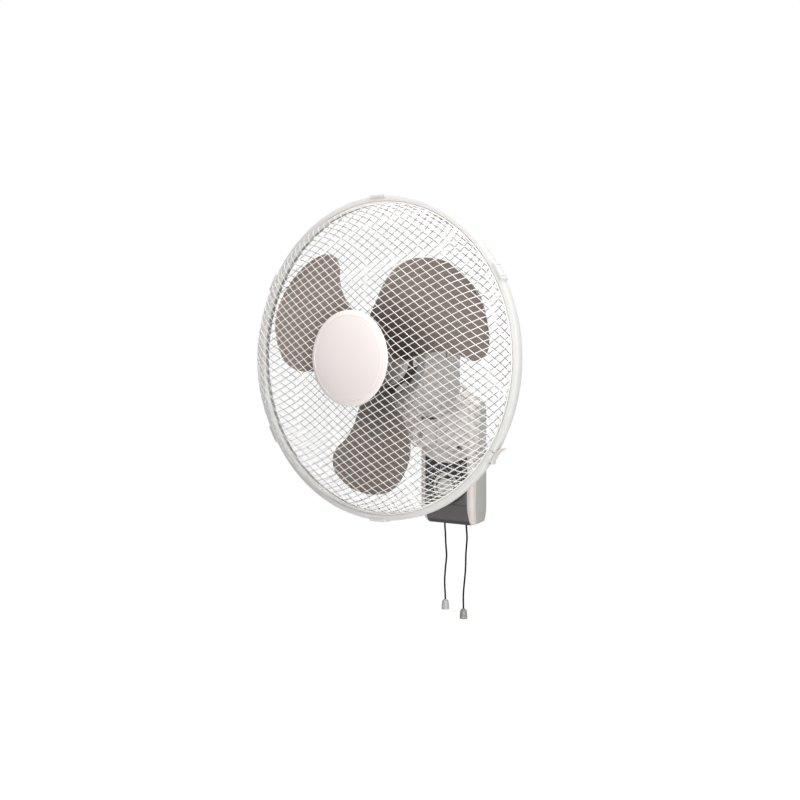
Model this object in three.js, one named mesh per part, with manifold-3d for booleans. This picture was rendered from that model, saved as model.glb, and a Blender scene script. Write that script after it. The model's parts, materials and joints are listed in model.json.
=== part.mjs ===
// A wall-mounted oscillating fan, 40 cm class, with two pull cords.
// Millimetres, +Z up. The wall is the plane y = 0 and the fan blows towards -Y.
// The origin is the middle of the wall plate's back face.
import * as THREE from "three";
import { mergeVertices } from "three/addons/utils/BufferGeometryUtils.js";
import Module from "manifold-3d";

const wasm = await Module();
wasm.setup();

// ---------------------------------------------------------------- driving dimensions

const SEAT_GAP = 0.3; // between fixed pieces that touch
const RUN_GAP = 0.4; // between pieces that turn or slide on each other
const WALL_TO_RING = 200; // wall to the middle plane of the guard ring
const PIVOT_TO_RING = 66; // tilt bolt and pan shaft behind the guard ring's plane
const PIVOT_BELOW_TOP = 43; // tilt bolt below the top of the base
const NECK_HEIGHT = 35; // tilt bolt to the motor housing's underside

// Guards
const RING_RADIUS = 218; // outside of the guard ring
const RING_WALL = 3.2;
const RING_WIDTH = 12; // along the fan axis
const RING_LIP = 1.5; // thickness of the two inward lips
const LIP_REACH = 4; // radial depth of the lips
const RIM_DEPTH = 7; // radial size of a guard's rim inside the ring
const GUARD_PITCH = 50; // between crossing bars
const SHOULDER_ARC = 50; // the front bars bend within this arc of the rim
const BAR_WIDTH = 3.2; // a bar's section is a triangle with its ridge outwards
const BAR_THICKNESS = 2.8;
const GUARD_HUB_RADIUS = 58; // where the bars end at the middle
const FRONT_GUARD_DEPTH = 64;
const REAR_GUARD_DEPTH = 27;
const CATCH_LENGTH = 26; // moulded catches round the ring
const CATCH_STEP = 60; // degrees from one catch to the next
const CATCH_PROUD = 1.8;
const CLIP_ANGLE = -33.5; // the lever that closes the ring, degrees from +X
const CLIP_LENGTH = 24;
const CLIP_WIDTH = 8;
const CLIP_THICKNESS = 3;
const CLIP_PIN_RADIUS = 1.3;
const BADGE_RADIUS = 63;
const BADGE_THICKNESS = 2.2;
const BADGE_CROWN = 8.6; // height of its dome

// Blades
const BLADE_COUNT = 3;
const BLADE_PHASE = 32.4; // degrees from +X to the first blade's own axis
const BLADE_TIP = 183;
const BLADE_PLANE = -18; // the blades' middle, from the ring's plane
const BLADE_PITCH = 30; // travel along the axis per radian
const BLADE_CAMBER = 5;
const BLADE_THICKNESS = 2.4;
const HUB_RADIUS = 38;
const HUB_LENGTH = 34;
const HUB_WALL = 2.5;
const SPINNER_RADIUS = 17;
const SPINNER_LENGTH = 15;

// Motor
const SHAFT_RADIUS = 4;
const STATOR_RADIUS = 38;
const STATOR_LENGTH = 28;
const STATOR_FRONT = 46; // behind the ring's plane
const ROTOR_RADIUS = 25;
const AIR_GAP = 0.6;
const COIL_LENGTH = 8;
const BRACKET_WALL = 1.6;
const REAR_BOWL = 20; // depth of the rear end bracket
const BEARING_RADIUS = 8.5;
const BEARING_LENGTH = 8;
const HOUSING_FRONT = 18.6; // front face, behind the ring's plane
const HOUSING_SPLIT = 45;
const HOUSING_WALL = 2.4;
const HOUSING_FLOOR = -70; // underside, from the fan axis
const BOSS_RADIUS = 24; // threaded boss that carries the rear guard
const BOSS_WALL = 4;
const GUARD_PLATE = 2; // the rear guard's middle plate
const NUT_RADIUS = 37;
const NUT_LENGTH = 7;

// Neck and swing drive
const EAR_RADIUS = 18;
const EAR_WALL = 7;
const ARM_WIDTH = 40;
const NECK_RADIUS = 13;
const BOLT_RADIUS = 4;
const BOLT_HEAD_RADIUS = 6.5;
const BOLT_HEAD_HEIGHT = 3;
const TABLE_RADIUS = 20; // turntable under the motor housing
const TABLE_THICKNESS = 7;
const SPIGOT_RADIUS = 6.5;
const BUSH_WALL = 2.4;
const BUSH_FLANGE = 12;
const CRANK_THROW = 7;
const CRANK_RADIUS = 10.5;
const CRANK_BEHIND = 43; // crank pin behind the pan shaft
const LEVER_REACH = 11; // pan shaft to the link's pin
const LINK_PIN_RADIUS = 1.9;
const SWING_MOTOR_RADIUS = 17;
const SWING_MOTOR_HEIGHT = 14;

// Base
const BASE_HALF_WIDTH = 46;
const BASE_TOP = 88;
const BASE_BOTTOM = -92;
const BASE_FRONT = 43; // wall to the control panel
const BASE_WALL = 2.2;
const PLATE_THICKNESS = 4;
const PLATE_MARGIN = 4; // wall plate inside the rear shell's outline
const COVER_DEPTH = 9; // front cover's side wall
const WINDOW_MARGIN = 9; // the window inside each side of the base
const WINDOW_TOP = 8;
const WINDOW_DIP = 10; // sag of the window's curved top edge
const PANEL_BOTTOM = -62;
const PANEL_RISE = 20; // the panel's lower edge rises towards both sides
const PANEL_RECESS = 1;
const LUG_RADIUS = 9;
const LUG_RISE = 16; // screw hole above the base
const SCREW_HOLE_RADIUS = 2.6;
const DIAL_HEIGHT = -37;
const DIAL_RADIUS = 12.3;
const DIAL_PROUD = 8;
const BEZEL_INSIDE = 14.5;
const BEZEL_OUTSIDE = 20;
const SPINDLE_RADIUS = 3;
const ARM_BELOW = 17; // underside of the arm that carries the neck, below the bolt
const ARM_ABOVE = 21;
const CORD_INSET = 27; // pull cords inside each side of the base
const CORD_BACK = 17; // cords in front of the wall
const CORD_RADIUS = 1.1;
const BUSH_BORE_GAP = 0.5;
const CORD_BUSH_RADIUS = 4;
const BELL_RADIUS = 5.8;
const BELL_HEIGHT = 15;
const SWITCH_BOTTOM = -58;
const SWITCH_GAP = 2; // between the two switches
const INLET_BORE = 4.2; // hole for the mains lead's gland
const SCREW_RADIUS = 1.5;
const POST_RADIUS = 4; // posts that the front cover is screwed to

const LARGE_ROUND = 36; // segments round the guard ring
const MIDDLE_ROUND = 20;
const MOTOR_ROUND = 16;
const SMALL_ROUND = 10;
const CORNER_STEPS = 2; // steps round a moulded corner
const ARC_STEPS = 3; // steps round each arc of an outline

const PIVOT_Y = PIVOT_TO_RING - WALL_TO_RING;
const PIVOT_Z = BASE_TOP - PIVOT_BELOW_TOP;
const PIVOT_DROP = NECK_HEIGHT - HOUSING_FLOOR; // tilt bolt below the fan axis
const AXIS_HEIGHT = PIVOT_Z + PIVOT_DROP;
const ARM_LOW = PIVOT_Z - ARM_BELOW;
const ARM_HIGH = PIVOT_Z + ARM_ABOVE;
const LUG_HEIGHT = BASE_TOP + LUG_RISE;
const WINDOW_HALF_WIDTH = BASE_HALF_WIDTH - WINDOW_MARGIN;
const CORD_X = BASE_HALF_WIDTH - CORD_INSET;
const CORD_Y = -CORD_BACK;
const rad = THREE.MathUtils.degToRad;

// ---------------------------------------------------------------- solids and joins

// A closed solid from any closed geometry, turned the right way out.
function solid(geometry) {
  geometry.deleteAttribute("normal");
  geometry.deleteAttribute("uv");
  const merged = mergeVertices(geometry, 1e-4);
  const corners = merged.index.array;
  const kept = [];
  for (let i = 0; i < corners.length; i += 3) {
    const [a, b, c] = [corners[i], corners[i + 1], corners[i + 2]];
    if (a !== b && b !== c && a !== c) kept.push(a, b, c);
  }
  const build = (triangles) =>
    new wasm.Manifold(
      new wasm.Mesh({
        numProp: 3,
        vertProperties: new Float32Array(merged.attributes.position.array),
        triVerts: new Uint32Array(triangles),
      }),
    );
  const made = build(kept);
  return made.volume() > 0 ? made : build(kept.reverse());
}

const join = (first, ...rest) => rest.reduce((sum, s) => sum.add(s), first);
const cut = (first, ...tools) => tools.reduce((sum, s) => sum.subtract(s), first);
const common = (first, ...rest) => rest.reduce((sum, s) => sum.intersect(s), first);

// A matrix that lays a shape's x and y on two axes and its extrusion on the third.
const AXES = {
  X: [new THREE.Vector3(0, 1, 0), new THREE.Vector3(0, 0, 1), new THREE.Vector3(1, 0, 0)],
  Y: [new THREE.Vector3(1, 0, 0), new THREE.Vector3(0, 0, 1), new THREE.Vector3(0, -1, 0)],
  Z: [new THREE.Vector3(1, 0, 0), new THREE.Vector3(0, 1, 0), new THREE.Vector3(0, 0, 1)],
};

// A straight prism of an outline along an axis. The outline is drawn in the other two
// axes: y and z for X, x and z for Y, x and y for Z.
function prism(axis, outline, from, to, curveSegments = ARC_STEPS) {
  const geometry = new THREE.ExtrudeGeometry(outline, {
    depth: to - from,
    bevelEnabled: false,
    curveSegments,
  });
  geometry.translate(0, 0, axis === "Y" ? -to : from);
  return solid(geometry.applyMatrix4(new THREE.Matrix4().makeBasis(...AXES[axis])));
}

const shapeOf = (points) => new THREE.Shape(points.map(([x, y]) => new THREE.Vector2(x, y)));

// A rounded rectangle from its low corner to its high corner.
function roundedBox([x0, y0], [x1, y1], radius) {
  const r = Math.min(radius, (x1 - x0) / 2 - 0.01, (y1 - y0) / 2 - 0.01);
  const shape = new THREE.Shape();
  shape.absarc(x1 - r, y0 + r, r, -Math.PI / 2, 0);
  shape.absarc(x1 - r, y1 - r, r, 0, Math.PI / 2);
  shape.absarc(x0 + r, y1 - r, r, Math.PI / 2, Math.PI);
  shape.absarc(x0 + r, y0 + r, r, Math.PI, 1.5 * Math.PI);
  return shape;
}

// A slot with round ends, from one end's centre to the other's.
function slot([x0, y0], [x1, y1], radius) {
  const angle = Math.atan2(y1 - y0, x1 - x0);
  const shape = new THREE.Shape();
  shape.absarc(x1, y1, radius, angle - Math.PI / 2, angle + Math.PI / 2);
  shape.absarc(x0, y0, radius, angle + Math.PI / 2, angle + 1.5 * Math.PI);
  return shape;
}

const box = (low, high) =>
  prism("Z", shapeOf([[low[0], low[1]], [high[0], low[1]], [high[0], high[1]], [low[0], high[1]]]),
    low[2], high[2]);

// A solid of revolution. Profile points are [radius, height along the axis].
function revolve(axis, profile, segments = MIDDLE_ROUND) {
  const onAxis = profile[0][0] === 0 && profile.at(-1)[0] === 0;
  const loop = onAxis ? profile : [...profile, profile[0]];
  const points = loop.map(([r, h]) => new THREE.Vector2(r, h));
  const geometry = new THREE.LatheGeometry(points, segments);
  if (axis === "Z") geometry.rotateX(Math.PI / 2);
  if (axis === "X") geometry.rotateZ(-Math.PI / 2);
  return solid(geometry);
}

const rod = (axis, radius, from, to, segments = SMALL_ROUND) =>
  revolve(axis, [[0, from], [radius, from], [radius, to], [0, to]], segments);

const tube = (axis, inside, outside, from, to, segments = SMALL_ROUND) =>
  revolve(axis, [[inside, from], [outside, from], [outside, to], [inside, to]], segments);

// A skin through rings of points that all have the same count, closed by a fan at each end.
function loft(rings) {
  const count = rings[0].length;
  const positions = rings.flat().flatMap((p) => [p.x, p.y, p.z]);
  const index = [];
  for (let k = 0; k < rings.length - 1; k++)
    for (let i = 0; i < count; i++) {
      const j = (i + 1) % count;
      const [a, b, c, d] = [k * count + i, k * count + j, (k + 1) * count + j, (k + 1) * count + i];
      index.push(a, b, c, a, c, d);
    }
  for (const [k, turn] of [[0, -1], [rings.length - 1, 1]]) {
    const middle = new THREE.Vector3();
    rings[k].forEach((p) => middle.addScaledVector(p, 1 / count));
    const hub = positions.length / 3;
    positions.push(middle.x, middle.y, middle.z);
    for (let i = 0; i < count; i++) {
      const pair = [k * count + i, k * count + ((i + 1) % count)];
      index.push(hub, ...(turn > 0 ? pair : pair.reverse()));
    }
  }
  const geometry = new THREE.BufferGeometry();
  geometry.setAttribute("position", new THREE.Float32BufferAttribute(positions, 3));
  geometry.setIndex(index);
  return solid(geometry);
}

// ---------------------------------------------------------------- the scene graph

const FINISHES = {
  white: [0xf2efec, 0.45, 0],
  lightGrey: [0xd6d1cc, 0.5, 0],
  midGrey: [0xa29d99, 0.5, 0],
  darkGrey: [0x575452, 0.5, 0],
  black: [0x1b1a1a, 0.4, 0],
  taupe: [0x84786f, 0.42, 0],
  bell: [0xc9c6bf, 0.35, 0],
  steel: [0xb4b4b2, 0.3, 1],
  copper: [0xa8603a, 0.4, 1],
  brass: [0xb69a5c, 0.35, 1],
};

const fan = new THREE.Group();
fan.name = "wall_fan";
const base = new THREE.Group();
const neckGroup = new THREE.Group();
neckGroup.position.set(0, PIVOT_Y, PIVOT_Z);
const head = new THREE.Group();
head.position.set(0, -WALL_TO_RING, AXIS_HEIGHT);
fan.add(base, neckGroup, head);

function place(group, name, made, finish) {
  const mesh = made.getMesh();
  const geometry = new THREE.BufferGeometry();
  geometry.setAttribute("position", new THREE.BufferAttribute(mesh.vertProperties, 3));
  geometry.setIndex(new THREE.BufferAttribute(mesh.triVerts, 1));
  geometry.computeVertexNormals();
  const [color, roughness, metalness] = FINISHES[finish];
  const piece = new THREE.Mesh(
    geometry, new THREE.MeshStandardMaterial({ color, roughness, metalness }));
  piece.name = name;
  group.add(piece);
}

// ---------------------------------------------------------------- base: shells

// Horizontal outlines of the base from bottom to top: height, half width, front, back.
// It narrows and curves back at the bottom, and its bottom rises towards the wall.
const SHELL_BACK = PLATE_THICKNESS + SEAT_GAP;
const BASE_STATIONS = [
  [BASE_BOTTOM, BASE_HALF_WIDTH - 7, BASE_FRONT - 12],
  [BASE_BOTTOM + 2, BASE_HALF_WIDTH - 5, BASE_FRONT - 9.5],
  [BASE_BOTTOM + 8, BASE_HALF_WIDTH - 2.6, BASE_FRONT - 5.8],
  [BASE_BOTTOM + 17, BASE_HALF_WIDTH - 0.8, BASE_FRONT - 2.4],
  [BASE_BOTTOM + 30, BASE_HALF_WIDTH, BASE_FRONT],
  [BASE_TOP - 18, BASE_HALF_WIDTH, BASE_FRONT],
  [BASE_TOP - 8, BASE_HALF_WIDTH - 1, BASE_FRONT - 0.8],
  [BASE_TOP - 2, BASE_HALF_WIDTH - 4, BASE_FRONT - 3.5],
  [BASE_TOP, BASE_HALF_WIDTH - 8, BASE_FRONT - 7],
];
const EDGE_RADIUS = 6;

// Points of a plan outline with its two front corners rounded, back corners nearly square.
function planRing(halfWidth, front, back, height, radius) {
  const ring = [];
  const corner = (cx, cy, r, start) => {
    for (let i = 0; i <= CORNER_STEPS; i++) {
      const a = rad(start + (i * 90) / CORNER_STEPS);
      ring.push(new THREE.Vector3(cx + r * Math.cos(a), cy + r * Math.sin(a), height));
    }
  };
  const small = 1.5;
  corner(halfWidth - radius, -front + radius, radius, -90);
  corner(halfWidth - small, -back - small, small, 0);
  corner(-halfWidth + small, -back - small, small, 90);
  corner(-halfWidth + radius, -front + radius, radius, 180);
  return ring.reverse();
}

// The base's outer body, drawn in by an inset on every side.
function baseBody(inset) {
  const rings = BASE_STATIONS.map(([height, halfWidth, front], k) => {
    const up = k < BASE_STATIONS.length / 2 ? inset : -inset;
    const level = Math.min(Math.max(height + up, BASE_BOTTOM + inset + k * 0.01),
      BASE_TOP - inset - (BASE_STATIONS.length - k) * 0.01);
    return planRing(halfWidth - inset, front - inset, SHELL_BACK + inset, level,
      Math.max(EDGE_RADIUS - inset, 1));
  });
  return loft(rings);
}

// The bottom rises towards the wall: a wedge is taken off under it.
const BOTTOM_RISE = 6;
const bottomWedge = (lift) => prism("X", shapeOf([
  [1, BASE_BOTTOM - 10],
  [-BASE_FRONT, BASE_BOTTOM - 10],
  [-BASE_FRONT, BASE_BOTTOM + lift - 1.5],
  [1, BASE_BOTTOM + BOTTOM_RISE + lift],
]), -BASE_HALF_WIDTH - 5, BASE_HALF_WIDTH + 5);

// The shoulder: vertical outlines from the cover forward to the arm's collar.
// Each is depth from the wall, half width, bottom, top, corner radius.
const COLLAR_HALF_WIDTH = ARM_WIDTH / 2 + BASE_WALL + SEAT_GAP;
const COLLAR_LOW = ARM_LOW - BASE_WALL - SEAT_GAP;
const COLLAR_HIGH = ARM_HIGH + BASE_WALL + SEAT_GAP;
const COLLAR_DEPTH = 96;
const SHOULDER = [
  [BASE_FRONT - 5, BASE_HALF_WIDTH - 5, WINDOW_TOP + 7, BASE_TOP - 4, 13],
  [BASE_FRONT + 5, BASE_HALF_WIDTH - 8, WINDOW_TOP + 9, BASE_TOP - 7, 12],
  [BASE_FRONT + 19, COLLAR_HALF_WIDTH + 9, COLLAR_LOW - 4.5, BASE_TOP - 11, 9],
  [BASE_FRONT + 35, COLLAR_HALF_WIDTH + 3, COLLAR_LOW - 1.5, BASE_TOP - 15, 5],
  [COLLAR_DEPTH, COLLAR_HALF_WIDTH, COLLAR_LOW, COLLAR_HIGH, BASE_WALL],
];

function uprightRing(halfWidth, low, high, depth, radius) {
  const r = Math.min(radius, halfWidth - 0.1, (high - low) / 2 - 0.1);
  const ring = [];
  for (const [cx, cz, start] of [
    [halfWidth - r, low + r, -90],
    [halfWidth - r, high - r, 0],
    [-halfWidth + r, high - r, 90],
    [-halfWidth + r, low + r, 180],
  ])
    for (let i = 0; i <= CORNER_STEPS; i++) {
      const a = rad(start + (i * 90) / CORNER_STEPS);
      ring.push(new THREE.Vector3(cx + r * Math.cos(a), -depth, cz + r * Math.sin(a)));
    }
  return ring;
}

function shoulder(inset, stretch) {
  const rings = SHOULDER.map(([depth, halfWidth, low, high, radius], k) => {
    const last = k === SHOULDER.length - 1;
    const reach = last ? stretch : k === 0 ? -stretch : 0;
    return uprightRing(halfWidth - inset, low + inset, high - inset, depth + reach,
      Math.max(radius - inset, 0.2));
  });
  return loft(rings);
}

// Everything in front of the parting line between cover and rear shell, which curves
// back at the bottom with the front.
function frontRegion(shift) {
  const line = BASE_STATIONS.map(([height, , front], k) => {
    const end = k === 0 ? -20 : k === BASE_STATIONS.length - 1 ? 20 : 0;
    return [-Math.min(front, BASE_FRONT) + COVER_DEPTH - shift, height + end];
  });
  const ahead = -COLLAR_DEPTH - 20;
  return prism("X", shapeOf([[ahead, line[0][1]], ...line, [ahead, line.at(-1)[1]]]),
    -BASE_HALF_WIDTH - 5, BASE_HALF_WIDTH + 5);
}

// The window in the cover, with its top edge sagging in the middle. Its lower edge
// rises towards both sides.
function windowOutline(gap, low, rise) {
  const w = WINDOW_HALF_WIDTH - gap;
  const top = WINDOW_TOP - gap;
  const shape = new THREE.Shape();
  shape.moveTo(-w, low + rise);
  shape.quadraticCurveTo(0, low - rise, w, low + rise);
  shape.lineTo(w, top);
  shape.quadraticCurveTo(0, top - 2 * WINDOW_DIP, -w, top);
  return shape;
}

const sharpBottom = BASE_BOTTOM - 6;
const shellCavity = cut(baseBody(BASE_WALL), bottomWedge(BASE_WALL));
const outerBody = cut(baseBody(0), bottomWedge(0));
const windowCut = prism("Y", windowOutline(0, sharpBottom, 0), -BASE_FRONT - 5, -5);
const postTop = BASE_FRONT - COVER_DEPTH - SEAT_GAP; // from the wall
const postX = BASE_HALF_WIDTH - 15;
const coverPosts = [[-postX, WINDOW_TOP + 14], [postX, WINDOW_TOP + 14]];

{
  const bushHoles = [-CORD_X, CORD_X].map((x) =>
    rod("Z", CORD_BUSH_RADIUS - 1.2, BASE_BOTTOM - 5, BASE_BOTTOM + 20)
      .translate([x, CORD_Y, 0]));
  const inletHole = rod("Z", INLET_BORE, BASE_BOTTOM - 5, BASE_BOTTOM + 20)
    .translate([0, CORD_Y, 0]);
  const posts = coverPosts.map(([x, z]) =>
    rod("Y", POST_RADIUS, -postTop, -SHELL_BACK - 1).translate([x, 0, z]));
  const pilots = coverPosts.map(([x, z]) =>
    rod("Y", SCREW_RADIUS + 0.3, -postTop - 5, -postTop + 16).translate([x, 0, z]));
  const shell = cut(outerBody, shellCavity, frontRegion(0), ...bushHoles, inletHole);
  place(base, "rear_shell", cut(join(shell, ...posts), ...pilots), "midGrey");
}

const screwSeat = -BASE_FRONT + 3; // the cover's screws sit this deep
{
  const whole = join(outerBody, shoulder(0, 0));
  const hollow = join(shellCavity, shoulder(BASE_WALL, 10));
  const posts = coverPosts.map(([x, z]) =>
    rod("Y", POST_RADIUS, -BASE_FRONT + 1, -postTop - SEAT_GAP).translate([x, 0, z]));
  const screwHoles = coverPosts.map(([x, z]) =>
    join(
      rod("Y", SCREW_RADIUS + 0.5, -BASE_FRONT - 2, -postTop + 2),
      rod("Y", POST_RADIUS - 0.8, -BASE_FRONT - 30, screwSeat),
    ).translate([x, 0, z]));
  const shell = cut(common(cut(whole, hollow), frontRegion(SEAT_GAP)), windowCut);
  place(base, "front_cover", cut(join(shell, ...posts), ...screwHoles), "lightGrey");
}

coverPosts.forEach(([x, z], k) => {
  const screw = join(
    rod("Y", POST_RADIUS - 1.2, screwSeat - 2.3, screwSeat - SEAT_GAP, 12),
    rod("Y", SCREW_RADIUS, screwSeat - 1, -postTop + 12, 12),
  );
  place(base, "cover_screw_" + ["left", "right"][k], screw.translate([x, 0, z]), "steel");
});

// The panel and the lower cover fill the window. Both follow the base's front.
const frontSkin = (recess, thickness) =>
  cut(cut(baseBody(recess), bottomWedge(recess)), baseBody(recess + thickness),
    box([-60, -BASE_FRONT + 16, -120], [60, 1, 120]));
{
  const upper = prism("Y", windowOutline(SEAT_GAP, PANEL_BOTTOM, PANEL_RISE),
    -BASE_FRONT - 5, -5, 2 * ARC_STEPS);
  const spindleHole = rod("Y", SPINDLE_RADIUS + RUN_GAP, -BASE_FRONT - 5, -5)
    .translate([0, 0, DIAL_HEIGHT]);
  place(base, "control_panel",
    cut(common(frontSkin(PANEL_RECESS, BASE_WALL), upper), spindleHole), "black");
  const w = WINDOW_HALF_WIDTH - SEAT_GAP;
  const top = PANEL_BOTTOM - SEAT_GAP;
  const outline = new THREE.Shape();
  outline.moveTo(-w, sharpBottom);
  outline.lineTo(w, sharpBottom);
  outline.lineTo(w, top + PANEL_RISE);
  outline.quadraticCurveTo(0, top - PANEL_RISE, -w, top + PANEL_RISE);
  const lower = prism("Y", outline, -BASE_FRONT - 5, -5, 2 * ARC_STEPS);
  const lowerBody = cut(baseBody(0), bottomWedge(0), baseBody(BASE_WALL));
  place(base, "lower_cover",
    common(lowerBody, lower, frontRegion(SEAT_GAP)), "darkGrey");
}

// ---------------------------------------------------------------- base: controls

const panelFace = -BASE_FRONT + PANEL_RECESS;
place(base, "dial_bezel", cut(
  revolve("Y", [
    [BEZEL_INSIDE, panelFace - SEAT_GAP],
    [BEZEL_INSIDE, panelFace - 1.4],
    [BEZEL_INSIDE + 1.2, panelFace - 2.2],
    [BEZEL_OUTSIDE - 1.2, panelFace - 2],
    [BEZEL_OUTSIDE, panelFace - SEAT_GAP],
  ], MIDDLE_ROUND)).translate([0, 0, DIAL_HEIGHT]), "bell");

{
  const back = panelFace - RUN_GAP;
  const front = -BASE_FRONT - DIAL_PROUD;
  const knob = revolve("Y", [
    [0, front], [DIAL_RADIUS - 2.2, front], [DIAL_RADIUS - 0.8, front + 0.8],
    [DIAL_RADIUS - 0.3, front + 2.4], [DIAL_RADIUS, back], [0, back],
  ], MOTOR_ROUND);
  const socket = rod("Y", SPINDLE_RADIUS + SEAT_GAP, back - 4.5, back + 5);
  const pointer = prism("Y", roundedBox([-0.8, 4], [0.8, DIAL_RADIUS - 2.6], 0.7),
    front - 1, front + 0.6);
  place(base, "dial", cut(knob, socket, pointer).translate([0, 0, DIAL_HEIGHT]), "bell");
}

const switchFront = panelFace + BASE_WALL + SEAT_GAP;
const switchBack = -12;
place(base, "dial_spindle",
  rod("Y", SPINDLE_RADIUS, panelFace - RUN_GAP - 4.2, switchFront + 5)
    .translate([0, 0, DIAL_HEIGHT]), "white");

{
  const swingLeft = CORD_X - 6;
  const bodyOutline = roundedBox([-CORD_X - 5, SWITCH_BOTTOM],
    [swingLeft - SWITCH_GAP, DIAL_HEIGHT + 13], 2);
  const body = prism("Y", bodyOutline, switchFront, switchBack);
  const bore = rod("Y", SPINDLE_RADIUS + RUN_GAP, switchFront - 2, switchFront + 7)
    .translate([0, 0, DIAL_HEIGHT]);
  place(base, "speed_switch", cut(body, bore), "black");
  const small = prism("Y",
    roundedBox([swingLeft, SWITCH_BOTTOM], [swingLeft + 14, DIAL_HEIGHT + 4], 2),
    switchFront, switchBack);
  place(base, "swing_switch", small, "black");
}

const shellFloor = -SHELL_BACK - BASE_WALL;
// The capacitor and the terminals are screwed to the rear shell, near its two sides.
const NEAR_SIDE = 12;
const CAPACITOR = { length: 34, low: -14, high: 6, front: -24, back: -9 };
{
  const { length, low, high, front, back } = CAPACITOR;
  const left = NEAR_SIDE - BASE_HALF_WIDTH;
  const right = left + length;
  const foot = (from, to) =>
    box([from, back - 0.5, low + 6], [to, shellFloor - SEAT_GAP, high - 6]);
  place(base, "capacitor", join(
    prism("Y", roundedBox([left, low], [right, high], 2.5), front, back),
    foot(left - 4, left + 2),
    foot(right - 4, right + 2),
  ), "white");
}
const TERMINALS = { length: 22, low: -14, high: 4, front: -20, pitch: 7, screw: 1.8 };
{
  const { length, low, high, front, pitch, screw } = TERMINALS;
  const right = BASE_HALF_WIDTH - NEAR_SIDE;
  const left = right - length;
  const block = prism("Y", roundedBox([left, low], [right, high], 1), front,
    shellFloor - SEAT_GAP);
  const screws = [0, 1, 2].map((k) =>
    rod("Y", screw, front - 10, front + 6, 6)
      .translate([left + 4 + pitch * k, 0, (low + high) / 2]));
  place(base, "terminal_block", cut(block, ...screws), "white");
}

// A bracket behind each switch carries it on the rear shell.
for (const [name, x] of [
  ["speed_switch_bracket", 11 - CORD_X], ["swing_switch_bracket", CORD_X + 1],
])
  place(base, name,
    prism("Y", roundedBox([x - 6, SWITCH_BOTTOM + 4], [x + 6, DIAL_HEIGHT + 2], 1.5),
      switchBack + SEAT_GAP, shellFloor - SEAT_GAP), "steel");

// Flanged bushes in the sloping bottom: two for the pull cords, one for the mains lead.
const BOTTOM_SLOPE = (BOTTOM_RISE + 1.5) / (BASE_FRONT + 1);
const bushSeat = BASE_BOTTOM - 1.5 + (BASE_FRONT - CORD_BACK) * BOTTOM_SLOPE;
const flangeTopUnder = (flange) => bushSeat - flange * BOTTOM_SLOPE - SEAT_GAP;
const FLANGE_THICKNESS = 1.5;
function flangedBush(bore, radius, flange) {
  const top = flangeTopUnder(flange);
  return revolve("Z", [
    [bore, top - FLANGE_THICKNESS], [flange, top - FLANGE_THICKNESS], [flange, top],
    [radius, top], [radius, bushSeat + BASE_WALL + 3], [bore, bushSeat + BASE_WALL + 3],
  ], SMALL_ROUND);
}
place(base, "mains_gland",
  flangedBush(2.6, INLET_BORE - SEAT_GAP, INLET_BORE + 2.2).translate([0, CORD_Y, 0]), "black");

// ---------------------------------------------------------------- base: wall plate

{
  const w = BASE_HALF_WIDTH - PLATE_MARGIN;
  const top = BASE_TOP - 4;
  const bottom = BASE_BOTTOM + BOTTOM_RISE + PLATE_MARGIN;
  const shape = new THREE.Shape();
  shape.moveTo(-w + 6, bottom);
  shape.lineTo(w - 6, bottom);
  shape.absarc(w - 6, bottom + 6, 6, -Math.PI / 2, 0);
  shape.lineTo(w, top - 4);
  shape.quadraticCurveTo(w - 3, top + 6, LUG_RADIUS + 15, top + 12);
  shape.quadraticCurveTo(LUG_RADIUS + 4, top + 15, LUG_RADIUS, LUG_HEIGHT);
  shape.absarc(0, LUG_HEIGHT, LUG_RADIUS, 0, Math.PI);
  shape.quadraticCurveTo(-LUG_RADIUS - 4, top + 15, -LUG_RADIUS - 15, top + 12);
  shape.quadraticCurveTo(-w + 3, top + 6, -w, top - 4);
  shape.lineTo(-w, bottom + 6);
  shape.absarc(-w + 6, bottom + 6, 6, Math.PI, 1.5 * Math.PI);
  const plate = prism("Y", shape, -PLATE_THICKNESS, 0);
  const lugHole = rod("Y", SCREW_HOLE_RADIUS, -10, 5).translate([0, 0, LUG_HEIGHT]);
  const sink = revolve("Y", [[0, -PLATE_THICKNESS - 1], [SCREW_HOLE_RADIUS + 3, -PLATE_THICKNESS - 1],
    [SCREW_HOLE_RADIUS, -PLATE_THICKNESS + 2], [0, -PLATE_THICKNESS + 2]], SMALL_ROUND)
    .translate([0, 0, LUG_HEIGHT]);
  const lowSlots = [-w + 18, w - 18].map((x) =>
    prism("Y", slot([x, bottom + 24], [x, bottom + 32], SCREW_HOLE_RADIUS), -10, 5));
  place(base, "wall_plate", cut(plate, lugHole, sink, ...lowSlots), "white");
}

// ---------------------------------------------------------------- base: arm and tilt bolt

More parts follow.
